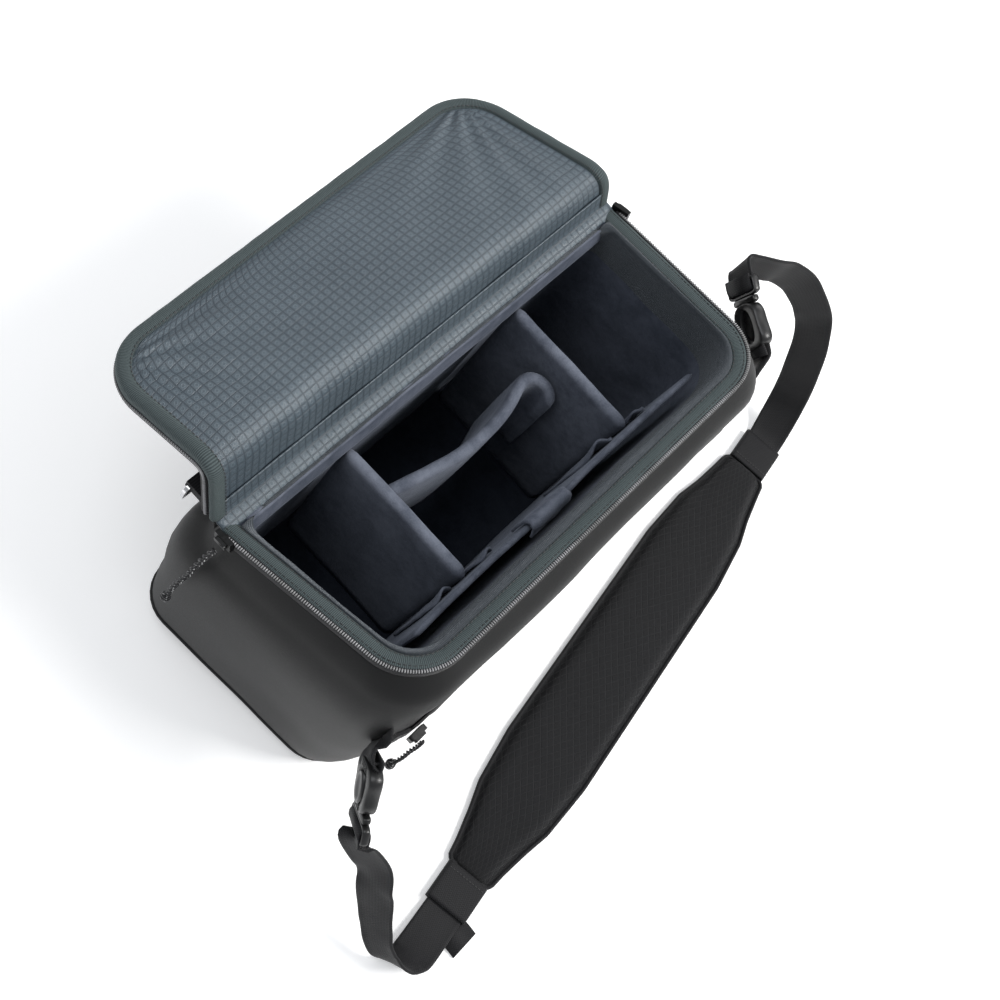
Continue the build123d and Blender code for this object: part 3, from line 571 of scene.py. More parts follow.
q, nn = rim_path(6.2, 2.2)
P = A([rim(x, y, -1.0) for x, y in q]); W_ = A([A((a, 0, 0)) + RY * b for a, b in nn]); H_ = np.tile(RZ, (len(P), 1))
if (W_[len(W_) // 2] @ RY) > 0: W_ = -W_
bsec = A([(4.6, -1.4), (4.9, .2), (4.4, 1.2), (3.0, 1.7), (1.0, 1.6), (-1.5, 1.0), (-4.0, -.1), (-5.6, -1.6), (-5.9, -3.2), (-5.0, -3.9), (-3.0, -3.0), (0, -2.2), (2.5, -1.9), (4.0, -2.0)])
def bs(i, q_):
    w = 1 + .05 * nz(P[i], 22, 2.); return bsec * A([w, 1 + .25 * nz(P[i], 14, 6.)])
bind = sweep("rim_grosgrain", P, W_, H_, bs, "gros", "bag"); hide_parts("rim_binding")
for z_, off, nm in ((1.75, 2.4, "a"), (.2, -3.7, "b")):
    L_ = P + W_ * off + H_ * z_; stitches("rim_stitch_" + nm, L_, H_, "bag", "thread" if nm == "b" else "bthread", 3.0, (2.0, .5, .5))
q, nn = rim_path(1.2, 2.5, -9.); Pt = A([rim(x, y, 0) for x, y in q]); Wt = A([A((a, 0, 0)) + RY * b for a, b in nn])
if (Wt[len(Wt) // 2] @ RY) > 0: Wt = -Wt
Ht = np.tile(RZ, (len(Pt), 1))
tape = sweep("rim_zip_tape", Pt, Wt, Ht, lambda i, q_: A([(-1.5, 0.1), (-.4, .7), (.9, .5), (1.25, -1), (1.2, -6.6), (.5, -6.8), (.3, -1.5), (-1.4, -.9)]), "tape", "bag")
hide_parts("rim_zip")
q, nn = rim_path(.9, 1.55, -12.); Pc = A([rim(x, y, .55) for x, y in q])
bits("rim_zip_coil", Pc, tangents(Pc), np.tile(RZ, (len(Pc), 1)), (.95, 2.3, 1.3), "coil", "bag")


# ------------------------------------------------------------------ soft slabs: sleeve wall, dividers
def slab_path(name, XY, z0, z1, T, mat, body, wav=0., seed=1., ends=6., k=26, sag=0.):
    """Upright padded slab on a plan path, rounded top and ends."""
    XY = resample(A(XY, float), 3.); T_ = tangents(XY); n = len(XY)
    P = A([(x, y, 0) for x, y in XY]); W = A([(t[1], -t[0], 0) for t in T_]); H = np.tile(A((0, 0, 1.)), (n, 1))
    dist = np.concatenate([[0], np.cumsum(np.linalg.norm(np.diff(XY, axis=0), axis=1))]); Ln = dist[-1]
    def sec(i, q):
        e = min(dist[i], Ln - dist[i]); th = T / 2 * (min(1., max(.12, math.sqrt(max(0, 1 - (1 - min(1, e / ends)) ** 2)))))
        zt = (z1(q) if callable(z1) else z1) - sag * math.sin(math.pi * q) - (ends * .35) * (1 - min(1, e / ends)) ** 2
        zt += wav * nz((XY[i][0], XY[i][1], 0), 16, seed)
        h = zt - z0; r = min(th, 5); o = []
        m = 14
        for a in np.linspace(0, 1, m): o.append((th * (1 + .10 * math.sin(math.pi * a) + .05 * nz((dist[i], a * h, 0), 22, seed)), z0 + (h - r) * a))
        for a in np.linspace(0, math.pi, 9)[1:-1]: o.append((th * math.cos(a), z0 + h - r + r * math.sin(a)))
        for a in np.linspace(1, 0, m): o.append((-th * (1 + .10 * math.sin(math.pi * a) + .05 * nz((dist[i], a * h, 9), 22, seed)), z0 + (h - r) * a))
        return A(o)
    ob = sweep(name, P, W, H, sec, mat, body)
    return ob


sl = slab_path("sleeve_panel", [(-132, -48.6), (-100, -47.4), (-60, -47.2), (-14, -48.4), (30, -46.9), (80, -47.3), (132, -48.2)], 10, lambda q: 183.2 + 1.6 * math.sin(9 * q), 4.2, "suede2", "bag", 2.2, 2., 5)
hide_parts("sleeve_wall")
dl = slab_path("left_divider_pad", [(-77, -44), (-76.2, 10), (-77.2, 59.8)], 9.8, lambda q: 170 - 4 * q, 9.0, "suede2", "divider_left_body", .9, 5., 7, sag=1.)
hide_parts("divider_left")
dr = slab_path("right_divider_pad", [(77, -44), (77.8, 10), (76.8, 59.8)], 9.8, lambda q: 170 - 4 * q, 9.0, "suede2", "divider_right_body", .9, 7., 7, sag=1.)
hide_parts("divider_right")
cr = catmull([(-71.5, 25), (-56, 21), (-36, 16.5), (-14, 12.5), (10, 12.2), (32, 15), (50, 20.5), (58, 21), (65, 15), (67.5, 6), (63.5, -2.5)], 6)
dc = slab_path("cross_divider_pad", cr, 62.2, lambda q: 152.5 + 1.5 * math.sin(7 * q) - 14 * max(0, (q - .82) / .18) ** 1.5, 8.4, "suede2", "divider_cross_body", 1.2, 3., 6)
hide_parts("divider_cross")


def flap(name, x0, x1, y, z0, z1, body, seed, out=3.5, mat="suede2"):
    """Soft hook-and-loop wing lying along a wall, its top edge puckered."""
    n, m = 26, 16; G = []
    for i in range(m):
        v = i / (m - 1); row = []
        for j in range(n):
            u = j / (n - 1); w = math.sin(math.pi * u)
            x = x0 + (x1 - x0) * u
            z = z0 + (z1 - z0) * v * (.72 + .28 * w ** .6)
            yy = y + out * (v ** 2) * (math.sin(u * 9 + seed) * .5 + .5) * w + .6 * nz((x, v * 60, seed), 12)
            row.append((x, yy, z))
        G.append(row)
    ob = grid(name, G, mat, body); thick(ob, 1.5, 0); return ob


flap("left_divider_wing_a", -73, -44, -44.0, 95, 168, "divider_left_body", 1.)
flap("left_divider_wing_b", -108, -81, -44.0, 95, 167, "divider_left_body", 2.4)
flap("right_divider_wing_a", 38, 73, -44.0, 95, 169, "divider_right_body", 4.1, 5.)
flap("right_divider_wing_b", 81, 106, -44.0, 95, 167, "divider_right_body", 5.)
# pull tab folded over the sleeve wall
n = 15; G = []
prof = [(-43.9, 163), (-43.7, 172), (-43.9, 181), (-45.6, 186.4), (-48.6, 187.6), (-51.2, 186), (-52.6, 181), (-53.4, 175), (-54.2, 169)]
pr = catmull(prof, 4)
for i, (y, z) in enumerate(pr):
    e = max(0, (i - (len(pr) - 7)) / 6); hw = 17.5 * math.sqrt(max(.05, 1 - e * e * .8)) + .8 * nz((i, 0, 0), 5)
    G.append([(-14 + hw * (2 * j / (n - 1) - 1), y + .7 * nz((j * 4, i * 3, 2), 9), z + .9 * nz((j * 5, i * 2, 7), 11)) for j in range(n)])
tb = grid("sleeve_pull_tab", G, "suede2", "bag"); thick(tb, 1.7, 0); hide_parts("sleeve_tab")

# ------------------------------------------------------------------ lid
RISE, FOLD, FL, FR, GAP = 70., 89., 52., 30., .6


def turn(v, k, deg):
    a = math.radians(deg); v, k = A(v, float), A(k, float)
    return v * math.cos(a) + np.cross(k, v) * math.sin(a) + k * (k @ v) * (1 - math.cos(a))


HP = A((0, HY, HZ)) + A((0, s, c)) * GAP
U, N = turn((0, 1, 0), (1, 0, 0), RISE), turn((0, 0, 1), (1, 0, 0), RISE)
slope = (FR - FL) / 350
ED = unit(A((1, 0, 0)) + U * slope); F0 = HP + U * (FL + FR) / 2
LX, LN = turn((1, 0, 0), ED, -FOLD), turn(N, ED, -FOLD); LO = F0 + turn(HP - F0, ED, -FOLD); LY = np.cross(LN, LX)


def lid(x, t, z=0., R=17.):
    tf = (FL + FR) / 2 + slope * x
    if t <= tf - R: p, w = HP + A((x, 0, 0)) + U * t, 0.
    elif t >= tf + R: p, w = LO + LX * x + LY * t, 1.
    else:
        q = (t - tf + R) / (2 * R); h = HP + A((x, 0, 0))
        p = (1 - q) ** 2 * (h + U * (tf - R)) + 2 * q * (1 - q) * (h + U * tf) + q * q * (LO + LX * x + LY * (tf + R)); w = q * q * (3 - 2 * q)
    return p + unit((1 - w) * N + w * LN) * z


def lid_w(t):
    """Half width of the lid outline at distance t from the hinge."""
    n, f, r = 331 / 2, 350 / 2, 38.
    w = f + (n - f) * t / DEPTH
    if t > DEPTH - r: w -= r - math.sqrt(max(0, r * r - (t - DEPTH + r) ** 2))
    return w


def wrinkle(x, t):
    o = 0.
    for cx, ct, sg in ((-158, 138, 1), (152, 140, -1)):
        dx, dt = x - cx, t - ct; r = math.hypot(dx, dt); a = math.atan2(dt, dx * sg)
        o += 1.5 * math.sin(a * 17 + .8 * math.sin(a * 5) + r * .012) * math.exp(-r / 80) * min(1, r / 16)
    return o


D_ = unit((U + LY) - ED * ((U + LY) @ ED)); B0, B1 = (F0 - D_ * 13) / 1000, (F0 + D_ * 13) / 1000


def lid_blend(ob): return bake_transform(ob)


ts = np.concatenate([np.linspace(3, 110, 72), 110 + 39.5 * (1 - (1 - np.linspace(0, 1, 26)[1:]) ** 1.8) * (141.5 - 110) / 39.5])
us = np.linspace(-1, 1, 121)
G = []
for t in ts:
    w = lid_w(t) - 8.; row = []
    w = min(w, lid_w(min(t + 8 * max(0, (t - 100) / 41.5), 149.4)) - 4)
    for u in us:
        x = u * max(w, 4); e = min((1 - abs(u)) * w, 141.5 - t) / 16.
        puff = 2.6 * min(1, max(0, e)) ** .7 * min(1, max(0, (t - 18) / 40.))
        z = puff - 1.0 + wrinkle(x, t) * min(1, max(0, e * 2)) + .7 * nz((x, t, 0), 48, 3) * min(1, max(0, e))
        row.append(lid(x, t, z))
    G.append(row)
ll = grid("lid_lining_cloth", A(G), "rip", None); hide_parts("lid_lining"); lid_blend(ll)
G = []
for t in np.concatenate([np.linspace(-1, 110, 60), np.linspace(112, 148.4, 22)]):
    w = lid_w(min(max(t, 0), 149.2)) - 1.2; row = []
    tf = (FL + FR) / 2
    for u in np.linspace(-1, 1, 81):
        x = u * w; k = min(1, max(0, (t - (tf + slope * x) + 8) / 20.)); th = 3.0 + (10.3 - 3.0) * k * k * (3 - 2 * k)
        e = min((1 - abs(u)) * w, 149.5 - t) / 10.
        row.append(lid(x, t, -th + 3.0 * (1 - min(1, max(0, e))) ** 2 + .8 * nz((x, t, 5), 50, 1)))
    G.append(row)
lo_ = grid("lid_outer_cloth", A(G), "outer", None, flip=True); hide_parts("lid_shell"); thick(lo_, .8, 1); lid_blend(lo_)


def lid_path(inset, step, t0=2.):
    n, f = 331 / 2 - inset, 350 / 2 - inset; k = (n - f) / (DEPTH - inset)
    q = rounded([(-f - k * t0, t0), (-n, DEPTH - inset), (n, DEPTH - inset), (f + k * t0, t0)], [0, 38 - inset, 38 - inset, 0], 18, (20, 40, 20), False)
    return resample(q, step)


q = lid_path(4.8, 2.2); P = A([lid(x, t, -3.4) for x, t in q])
Hl = A([unit(lid(x, t, 1) - lid(x, t, 0)) for x, t in q]); Tl = tangents(P); Wl = np.cross(Tl, Hl); Wl /= np.linalg.norm(Wl, axis=1, keepdims=True)
if Wl[len(Wl) // 2] @ LY < 0: Wl = -Wl
def lb(i, q_):
    x, t = q[i]; k = min(1, max(0, (t - ((FL + FR) / 2 + slope * x) + 14) / 26.)); hh = 3.2 + 2.2 * k
    o = oval_sec(4.9, hh, 22, 2.5) * (1 + .05 * nz((x, t, 1), 13)); o[:, 1] += (1 - k) * 1.6; return o
lbi = sweep("lid_edge_binding", P, Wl, Hl, lb, "gros", None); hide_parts("lid_binding"); lid_blend(lbi)
so = stitches("lid_stitch", P - Wl * 3.9 + Hl * 4.6, Hl, None, "thread", 3.0, (2.0, .5, .5)); lid_blend(so)
q2 = lid_path(.4, 1.55, 5.); P2 = A([lid(x, t, -6.2) for x, t in q2]); H2 = A([unit(lid(x, t, 1) - lid(x, t, 0)) for x, t in q2]); W2 = np.cross(tangents(P2), H2)
if W2[len(W2) // 2] @ LY < 0: W2 = -W2
zt_ = sweep("lid_zip_tape", P2[::2] - W2[::2] * .4, W2[::2], H2[::2], lambda i, q_: A([(.9, 1.2), (1.1, -2.6), (-.4, -3.4), (-1.4, -2.4), (-1.2, 1.2)]), "tape", None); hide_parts("lid_zip"); lid_blend(zt_)
zc = bits("lid_zip_coil", P2 + W2 * .6, tangents(P2), W2, (.95, 2.3, 1.3), "coil", None); lid_blend(zc)
# core of the lid between lining and shell, and the hinge cloth
G = []
for t in np.linspace(8, 146, 60):
    w = lid_w(t) - 5
    G.append([lid(u * w, t, -2.4) for u in np.linspace(-1, 1, 40)])
co_ = grid("lid_foam", A(G), "outer", None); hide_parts("lid_padding"); thick(co_, 1.2, 0); lid_blend(co_)
fw = [[rim(x * (a_ * .0 + 166), a, b + .5 * nz((x * 170, a, b), 20)) for a, b in ((-11.9, -15), (-11.2, -9), (-9.4, -4), (-6.6, -1.4), (-4.4, -.6))] for a_ in (1,) for x in np.linspace(-1, 1, 90)]
fwp = grid("far_wall_lip", np.swapaxes(catmull(np.swapaxes(A(fw), 0, 1), 4), 0, 1), "suede", "bag"); thick(fwp, 1.2, 0)
Pr_ = A([rim(x, -9.6 + .5 * nz((x, 0, 0), 24), -3.6 + .8 * nz((x, 3, 0), 18)) for x in np.linspace(-158, 158, 110)])
sweep("far_wall_roll", Pr_, np.tile(RY, (110, 1)), np.tile(RZ, (110, 1)), lambda i, q: oval_sec(2.1, 1.7, 12) * (1 + .14 * nz((i, 0, 0), 6)), "suede2", "bag")
for nm, prof, mt, slot_ in (("hinge_cloth_inner", [(-9.0, -3.6), (-7.6, -1.4), (-5.2, .4), (-3., 1.4), (-1, 1.9)], "rip", "lid_ripstop"), ("hinge_cloth_outer", [(1.0, -8), (1.3, -4), (1.6, -1), (2.0, 1.5)], "outer", "outer_fabric")):
    G = []
    for x in np.linspace(-1, 1, 90):
        row = [rim(x * 173.5, a, b + .4 * nz((x * 170, a, b), 20)) for a, b in prof]
        z_ = .0 if mt == "rip" else -2.9
        row += [lid(x * 172.5, t, z_) for t in (3, 8, 14)]
        G.append(row)
    G = np.swapaxes(catmull(np.swapaxes(A(G), 0, 1), 4), 0, 1)
    hc = grid(nm, G, mt, None); thick(hc, 1., 0)
    ((HP - A((0, 0, 5.))) / 1000).tolist()
    ((HP + U * 7) / 1000).tolist()
    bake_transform(hc)
    if mt == "rip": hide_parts("lid_hinge_panel")

# ------------------------------------------------------------------ back padding, pocket zips
def back_at(x, z):
    """Y of the shell's back face at x and height z."""
    best = None
    cols = [j for j in range(SH.shape[1]) if SH[20, j, 1] < -20]
    xs = A([SH[:, j][:, 0] for j in cols])
    col = A([[np.interp(z, SH[3:-6, j, 2], SH[3:-6, j, k_]) for k_ in (0, 1)] for j in cols])
    o = np.argsort(col[:, 0]); y = np.interp(x, col[o, 0], col[o, 1]); return y


BACKT = {}
zs_ = np.linspace(20, 190, 35); xs_ = np.linspace(-172, 172, 70)
BY = A([[back_at(x, z) for x in xs_] for z in zs_])


def by(x, z):
    i = np.interp(z, zs_, np.arange(len(zs_))); i0 = min(int(i), len(zs_) - 2); f = i - i0
    r = BY[i0] * (1 - f) + BY[i0 + 1] * f
    return float(np.interp(x, xs_, r))


G = []
for v in np.linspace(0, 1, 30):
    row = []
    for u in np.linspace(-1, 1, 80):
        x, z = 4 + u * 130, 31 + v * 59
        e = min(1 - abs(u), 1) * 130 / 12; e2 = min(v, 1 - v) * 59 / 12
        k = (1 - (1 - min(1, e)) ** 2) * (1 - (1 - min(1, e2)) ** 2)
        ch = 1 - .55 * math.exp(-((x - 4) / 4) ** 2) - .4 * math.exp(-((v - .5) * 59 / 3.2) ** 2)
        row.append((x, by(x, z) - .4 - 6.2 * (k ** .5) * ch, z))
    G.append(row)
bp = grid("back_pad", A(G), "dia", "bag"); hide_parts("back_padding")
for nm, z, a, b, node_, front in (("back_pocket", 140., -158, 150, "back_pocket_zip", False), ("front_pocket", 132., -140, 140, "front_pocket_zip", True)):
    xs2 = np.arange(a, b, 3.)
    if not front: Pz = A([(x, by(x, z) - .5, z) for x in xs2]); out = A((0, -1., 0.))
    else:
        FB = A([SH[np.argmin(abs(SH[:30, j, 2] - z)), j] for j in range(SH.shape[1]) if SH[20, j, 1] > 60]); o = np.argsort(FB[:, 0])
        Pz = A([(x, float(np.interp(x, FB[o, 0], FB[o, 1])) + .5, z) for x in xs2]); out = A((0, 1., 0.))
    Tz = tangents(Pz); Wz = np.tile(A((0, 0, 1.)), (len(Pz), 1)); Hz = np.tile(out, (len(Pz), 1))
    tp = sweep(nm + "_tape", Pz, Wz, Hz, lambda i, q_: A([(-6, -.4), (-5.6, .9), (-3.4, 1.5), (-2.6, .3), (2.6, .3), (3.4, 1.5), (5.6, .9), (6, -.4)]), "outer", "bag")
    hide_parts(node_)
    Pr = resample(Pz, 1.5); bits(nm + "_coil", Pr + out * .9, tangents(Pr), np.tile(out, (len(Pr), 1)), (.9, 3.6, 1.2), "coil", "bag")

# ------------------------------------------------------------------ strap
A_L, D_L = A((-179, -82, 142.)), unit((-.55, -.55, -.62)); A_R, D_R = A((192, -76, 166.)), unit((.45, .87, .18))
PAD0, PAD1 = A((-148., -199., .5)), A((237., -140.1, .5)); PD = unit(PAD1 - PAD0); PL = float(np.linalg.norm(PAD1 - PAD0)); PW = A((PD[1], -PD[0], 0))


def on_pad(u, z): p = PAD0 + PD * u; return (p[0], p[1], z, PD[1], -PD[0], 0)


LS = [(*(A_L + D_L * 50), 0, 0, 1), (*(A_L + D_L * 60.2), 0, 0, 1), (*(A_L + D_L * 65), .1, 0, 1),
      (-212.5, -139.1, 80.0, .2, 0, .97), (-216.7, -151.7, 63.0, .25, 0, .97), (-220.6, -161.9, 48.0, .25, 0, .97), (-224.9, -172.2, 36.0, .25, -.05, .97),
      (-229.1, -183.0, 26.0, .2, -.1, .97), (-230.1, -193.1, 20.0, .15, -.3, .93), (-226.6, -201.6, 16.0, 0, -.55, .8), (-219.0, -205.7, 13.0, 0, -.8, .55),
      (-209.1, -206.8, 9.5, .05, -.95, .25), on_pad(-33, 4.4), on_pad(-15, 4.1), on_pad(1, 4.)]
RS = [(*(A_R + D_R * 50), 0, 0, 1), (*(A_R + D_R * 62.4), 0, 0, 1), (225.5, -17.0, 177.8, 0, 0, 1), (233.5, -22.0, 176.0, 0, 0, 1),
      (246.5, -33.8, 173.0, 0, 0, 1), (259.0, -42.2, 167.0, 0, 0, 1), (270.9, -53.5, 157.0, 0, 0, 1), (279.6, -64.9, 144.0, 0, -.08, 1), (287.4, -76.8, 129.0, 0, -.15, 1),
      (293.1, -86.7, 112.0, .02, -.25, .95), (295.0, -97.7, 92.0, .05, -.4, .9), (295.2, -107.1, 70.0, .1, -.6, .75), (295.6, -116.4, 46.0, .12, -.8, .5),
      (292.3, -124.5, 24.0, .14, -.95, .22), on_pad(PL + 36, 4.4), on_pad(PL + 15, 4.), on_pad(PL - 1, 4.)]


def strap(name, ST, node_, w=29., t=1.7):
    K = catmull(A(ST), 8); P = K[:, :3]; T = tangents(P)
    W = A([unit(r - t_ * (r @ t_)) for r, t_ in zip(K[:, 3:], T)]); H = np.cross(T, W)
    sec = A([(-w / 2, 0), (-w / 2 + .5, t / 2), (-w / 2 + 2, t / 2 * 1.12), (-w / 2 + 3, t / 2 * .85), (-6, t / 2), (0, t / 2), (6, t / 2), (w / 2 - 3, t / 2 * .85), (w / 2 - 2, t / 2 * 1.12), (w / 2 - .5, t / 2), (w / 2, 0)])
    sec = np.concatenate([sec, (sec[1:-1] * A([1, -1]))[::-1]])
    ob = sweep(name, P, W, H, lambda i, q: sec, "web", "strap"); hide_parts(node_); return ob


strap("strap_band_left", LS, "strap_webbing_left"); strap("strap_band_right", RS, "strap_webbing_right")
tl = catmull(A([(-184, -207, 2.5), (-183, -213, 2.3), (-182, -219, 1.7), (-182, -225, 1.4), (-182.5, -230.3, 1.4)]), 4); n_t = len(tl)
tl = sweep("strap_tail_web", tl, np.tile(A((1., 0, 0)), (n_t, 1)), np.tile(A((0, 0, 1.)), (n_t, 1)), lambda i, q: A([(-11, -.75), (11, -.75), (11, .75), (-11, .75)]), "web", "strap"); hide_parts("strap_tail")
# shoulder pad
wid = lambda u: float(np.interp(u, [0, 3, 14, 36, 56, 98, PL - 98, PL - 56, PL - 36, PL - 14, PL - 3, PL], [15.5, 18, 19.6, 24.5, 30, 34, 34, 30, 24.5, 20.5, 18.8, 16]))
sp = np.concatenate([np.linspace(0, 8, 6), np.linspace(10, PL - 10, 120), np.linspace(PL - 8, PL, 6)])


def psec(u):
    w = wid(u); e = min(u, PL - u); f = min(1., .45 + .55 * math.sqrt(max(0, 1 - (1 - min(1, e / 26)) ** 2))); o = []
    for a in np.linspace(-1, 1, 41):
        ed = (1 - abs(a)) * w; k = math.sqrt(max(0, 1 - (1 - min(1, (ed - 3.5) / 9)) ** 2)) if ed > 3.5 else 0
        o.append((a * w, (3.0 + (5.6 * k + .5 * nz((u, a * 30, 3), 30)) * f)))
    return A(o + [(w - .4, 1.6), (w - 3, .45)] + [(a * w, .35) for a in np.linspace(.8, -.8, 9)] + [(-w + 3, .45), (-w + .4, 1.6)])


G = [[(PAD0 + PD * u + PW * a + A((0, 0, b))).tolist() for a, b in psec(u)] for u in sp]
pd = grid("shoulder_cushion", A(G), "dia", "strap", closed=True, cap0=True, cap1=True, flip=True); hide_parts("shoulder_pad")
edge = [(u, wid(u)) for u in sp] + [(u, -wid(u)) for u in sp[::-1]]
E_ = resample(A([PAD0 + PD * u + PW * w + A((0, 0, 2.6)) for u, w in edge + edge[:1]]), 2.5)
Te = tangents(E_); Ze = np.tile(A((0, 0, 1.)), (len(E_), 1)); We = np.cross(Te, Ze)
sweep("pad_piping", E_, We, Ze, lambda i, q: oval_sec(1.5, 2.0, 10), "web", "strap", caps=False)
for sd in (-1, 1):
    L_ = A([PAD0 + PD * u + PW * sd * (wid(u) - 4.6) + A((0, 0, 4.6)) for u in sp[8:-8]])
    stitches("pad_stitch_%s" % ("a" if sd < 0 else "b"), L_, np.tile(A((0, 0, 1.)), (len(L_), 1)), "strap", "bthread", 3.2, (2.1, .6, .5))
for nm, u0 in (("left", -14.9), ("right", PL + 14.9)):
    P = A([PAD0 + PD * (u0 + q) for q in np.linspace(-14.2, 14.2, 12)])
    sec = rounded([(-16.5, .6), (16.5, .6), (16.5, 7.3), (-16.5, 7.3)], [2.6] * 4, 5, (8, 2))
    G = [[(p + PW * a + A((0, 0, b))).tolist() for a, b in sec] for p in P]
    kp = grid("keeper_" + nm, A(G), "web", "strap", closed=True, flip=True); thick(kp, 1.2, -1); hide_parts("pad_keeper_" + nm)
    Lc = A([PAD0 + PD * (u0 + (10 if nm == "left" else -10)) + PW * a + A((0, 0, 7.5)) for a in np.linspace(-13.5, 13.5, 12)])
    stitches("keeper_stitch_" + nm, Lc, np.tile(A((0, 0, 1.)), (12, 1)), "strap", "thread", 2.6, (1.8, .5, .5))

# ------------------------------------------------------------------ buckles
def sup(a, b, e, k=56):
    t = np.linspace(0, TAU, k, endpoint=False)
    return np.stack([a * np.sign(np.cos(t)) * np.abs(np.cos(t)) ** (2 / e), b * np.sign(np.sin(t)) * np.abs(np.sin(t)) ** (2 / e)], 1)


def bframe(o, d):
    w_ = unit(A((0, 0, 1.)) - d * d[2]); return o, d, w_, np.cross(d, w_)


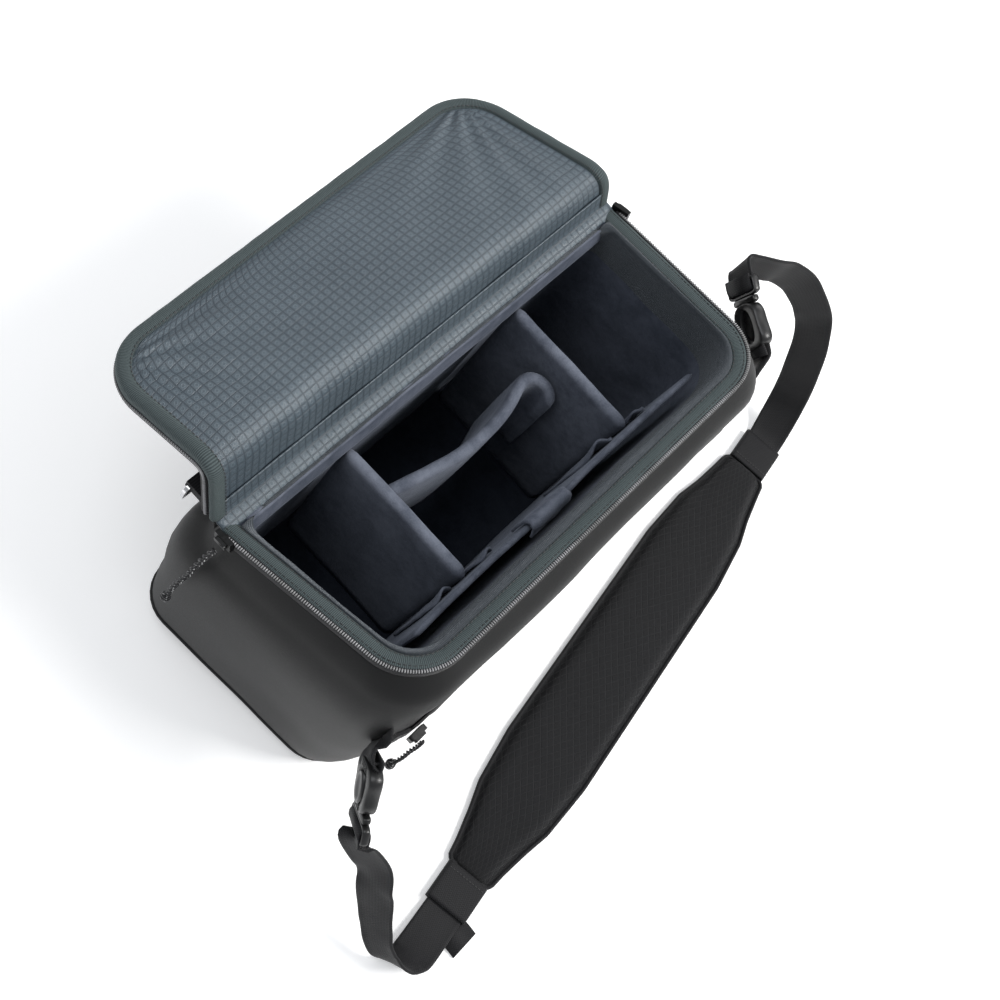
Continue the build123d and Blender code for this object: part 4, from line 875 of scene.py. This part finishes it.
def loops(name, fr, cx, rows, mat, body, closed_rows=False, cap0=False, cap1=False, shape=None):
    o, d, w_, n_ = fr; G = []
    for a, b, e, z in rows + (rows[:1] if closed_rows else []):
        q = sup(a, b, e)
        if shape: q = shape(q)
        G.append([o + d * (cx + x) + w_ * y + n_ * z for x, y in q])
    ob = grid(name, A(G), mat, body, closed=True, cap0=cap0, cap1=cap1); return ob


def bar(name, fr, x, w, r, z, mat="plas", e=2.6, rz=None):
    o, d, w_, n_ = fr
    P = A([o + d * x + w_ * y + n_ * z for y in np.linspace(-w / 2, w / 2, 9)])
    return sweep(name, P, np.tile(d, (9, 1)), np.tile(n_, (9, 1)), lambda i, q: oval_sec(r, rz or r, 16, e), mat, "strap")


for side, o_, d_ in (("left", A_L, D_L), ("right", A_R, D_R)):
    fr = bframe(o_, d_); T_ = 4.4
    waist = lambda q: np.stack([q[:, 0], q[:, 1] * (1 - .16 * np.clip(q[:, 0] / 16, -1, 1) - .07 * np.cos(q[:, 0] / 16 * math.pi))], 1)
    h_ = loops("housing_" + side, fr, 26, [(15.0, 14.0, 3., -T_), (15.8, 14.8, 3., -T_ + .9), (16, 15, 3., 0), (15.8, 14.8, 3., T_ - .9), (15.0, 14.0, 3., T_), (13.2, 9.4, 2.3, T_ + .1), (12.2, 8.0, 2., T_ - .3),
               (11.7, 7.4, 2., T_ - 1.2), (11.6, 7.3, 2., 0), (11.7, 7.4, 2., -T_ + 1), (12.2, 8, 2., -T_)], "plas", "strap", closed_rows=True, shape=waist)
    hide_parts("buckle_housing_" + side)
    for k_, (x_, ln) in enumerate(((13.4, 10), (38.6, 9))):
        for j_ in range(3):
            bar("housing_rib_%s_%d%d" % (side, k_, j_), fr, x_ + (j_ - 1) * 1.5, ln * 1.1, .45, T_ + .05)
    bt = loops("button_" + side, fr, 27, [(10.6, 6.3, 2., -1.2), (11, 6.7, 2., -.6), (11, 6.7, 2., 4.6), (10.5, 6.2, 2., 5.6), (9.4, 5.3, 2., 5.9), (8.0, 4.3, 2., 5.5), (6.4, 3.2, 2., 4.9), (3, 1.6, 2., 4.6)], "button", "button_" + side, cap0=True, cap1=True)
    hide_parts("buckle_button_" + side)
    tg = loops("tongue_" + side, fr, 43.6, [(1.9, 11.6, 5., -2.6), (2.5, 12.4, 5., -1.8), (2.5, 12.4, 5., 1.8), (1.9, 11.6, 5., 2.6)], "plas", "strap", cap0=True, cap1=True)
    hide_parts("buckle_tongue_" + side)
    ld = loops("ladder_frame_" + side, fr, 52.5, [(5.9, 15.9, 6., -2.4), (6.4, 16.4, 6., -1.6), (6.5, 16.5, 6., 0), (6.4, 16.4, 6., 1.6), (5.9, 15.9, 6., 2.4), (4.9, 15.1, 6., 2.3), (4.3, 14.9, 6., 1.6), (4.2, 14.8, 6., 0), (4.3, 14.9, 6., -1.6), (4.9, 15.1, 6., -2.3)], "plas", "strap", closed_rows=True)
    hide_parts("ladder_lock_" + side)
    bar("ladder_bar_" + side, fr, 52.7, 30.5, 1.3, .2, e=3.)
    # webbing through the ladder bars, folded back on itself
    o2, d2, w2, n2 = fr
    pr_ = catmull(A([(60.5, .6), (57.5, 1.0), (55.2, 2.9), (52.6, 3.3), (50.2, 2.6), (49.4, .2), (50.4, -2.4), (53, -3.2), (56.5, -3.3), (60, -3.1)]), 5)
    P = A([o2 + d2 * x + n2 * z for x, z in pr_]); T2 = tangents(P); H2_ = np.cross(T2, w2)
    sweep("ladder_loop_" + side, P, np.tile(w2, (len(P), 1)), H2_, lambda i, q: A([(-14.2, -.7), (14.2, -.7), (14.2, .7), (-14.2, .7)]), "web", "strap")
    # anchor webbing from the side seam, looped round the housing bar
    sg = -1 if side == "left" else 1
    st_ = A((sg * 171.5, -79.5, 149.)) if side == "left" else A((sg * 172.5, -77.5, 160.))
    pa = catmull(A([st_ - A((sg * 4, -5, -3.)), st_ + A((sg * 1.5, -1.6, 0)), (st_ + o2) / 2 + A((sg * 1., -1., 0)), o2 + d2 * 2 + n2 * .8, o2 + d2 * 8 + n2 * 1.8, o2 + d2 * 12 + n2 * 1.0, o2 + d2 * 13.2 - n2 * .6, o2 + d2 * 11 - n2 * 2.2, o2 + d2 * 4 - n2 * 1.6]), 5)
    T3 = tangents(pa); W3 = A([unit(A((0, 0, 1.)) - t * t[2]) for t in T3]); H3 = np.cross(T3, W3)
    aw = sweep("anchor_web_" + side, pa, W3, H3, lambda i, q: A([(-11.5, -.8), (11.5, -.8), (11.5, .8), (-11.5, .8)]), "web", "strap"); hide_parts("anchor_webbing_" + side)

# ------------------------------------------------------------------ carried-over parts
for n_, ob in NODES.items():
    if ob.hide_render: continue
    k = ("steel" if n_.startswith("lash_ring") else "zmet" if "slider" in n_ else "button" if "button" in n_ else
         "plas" if ("buckle" in n_ or "ladder" in n_) else "tape" if "zip" in n_ and "tab" not in n_ else
         "web" if ("webbing" in n_ or "tail" in n_ or "tabs" in n_) else "outer")
    if k in ("web", "tape", "dia") and "st" not in ob.data.uv_layers:
        lay = ob.data.uv_layers.new(name="st"); me = ob.data
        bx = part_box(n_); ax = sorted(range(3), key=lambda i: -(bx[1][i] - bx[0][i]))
        for lp in me.loops:
            p = me.vertices[lp.vertex_index].co; lay.data[lp.index].uv = (p[ax[1]], p[ax[0]])
    ob.data.materials.clear(); ob.data.materials.append(MAT[k])

# ------------------------------------------------------------------ stage and light
fm = bpy.data.meshes.new("floor"); fm.from_pydata([(-6, -6, 0), (6, -6, 0), (6, 6, 0), (-6, 6, 0)], [], [(0, 1, 2, 3)])
floor = bpy.data.objects.new("floor", fm); scene.collection.objects.link(floor); floor.location.z = -.0002
mm = bpy.data.materials.new("floor"); mm.use_nodes = True; mm.node_tree.nodes["Principled BSDF"].inputs["Base Color"].default_value = (.92, .92, .92, 1); mm.node_tree.nodes["Principled BSDF"].inputs["Emission Color"].default_value = (1, 1, 1, 1); mm.node_tree.nodes["Principled BSDF"].inputs["Emission Strength"].default_value = .3
mm.node_tree.nodes["Principled BSDF"].inputs["Roughness"].default_value = .9
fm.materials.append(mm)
w = bpy.data.worlds.new("world"); scene.world = w; w.use_nodes = True
w.node_tree.nodes["Background"].inputs[0].default_value = (.93, .96, 1, 1); w.node_tree.nodes["Background"].inputs[1].default_value = .42


def light(name, loc, aim, size, watts, col=(1, 1, 1)):
    l = bpy.data.lights.new(name, "AREA"); l.size = size; l.energy = watts; l.color = col
    o = bpy.data.objects.new(name, l); scene.collection.objects.link(o); o.location = loc
    o.rotation_mode = "QUATERNION"; o.rotation_quaternion = (Vector(aim) - Vector(loc)).to_track_quat("-Z", "Y")


light("key", (.75, -1.1, 1.75), (0, 0, .1), .8, 44, (1, .99, .97))
light("top", (-.5, .7, 2.1), (0, 0, .1), 1.3, 16, (.95, .97, 1))
light("side", (1.9, .3, 1.2), (0, 0, .1), 1.2, 10)
scene.view_settings.view_transform = "Standard"
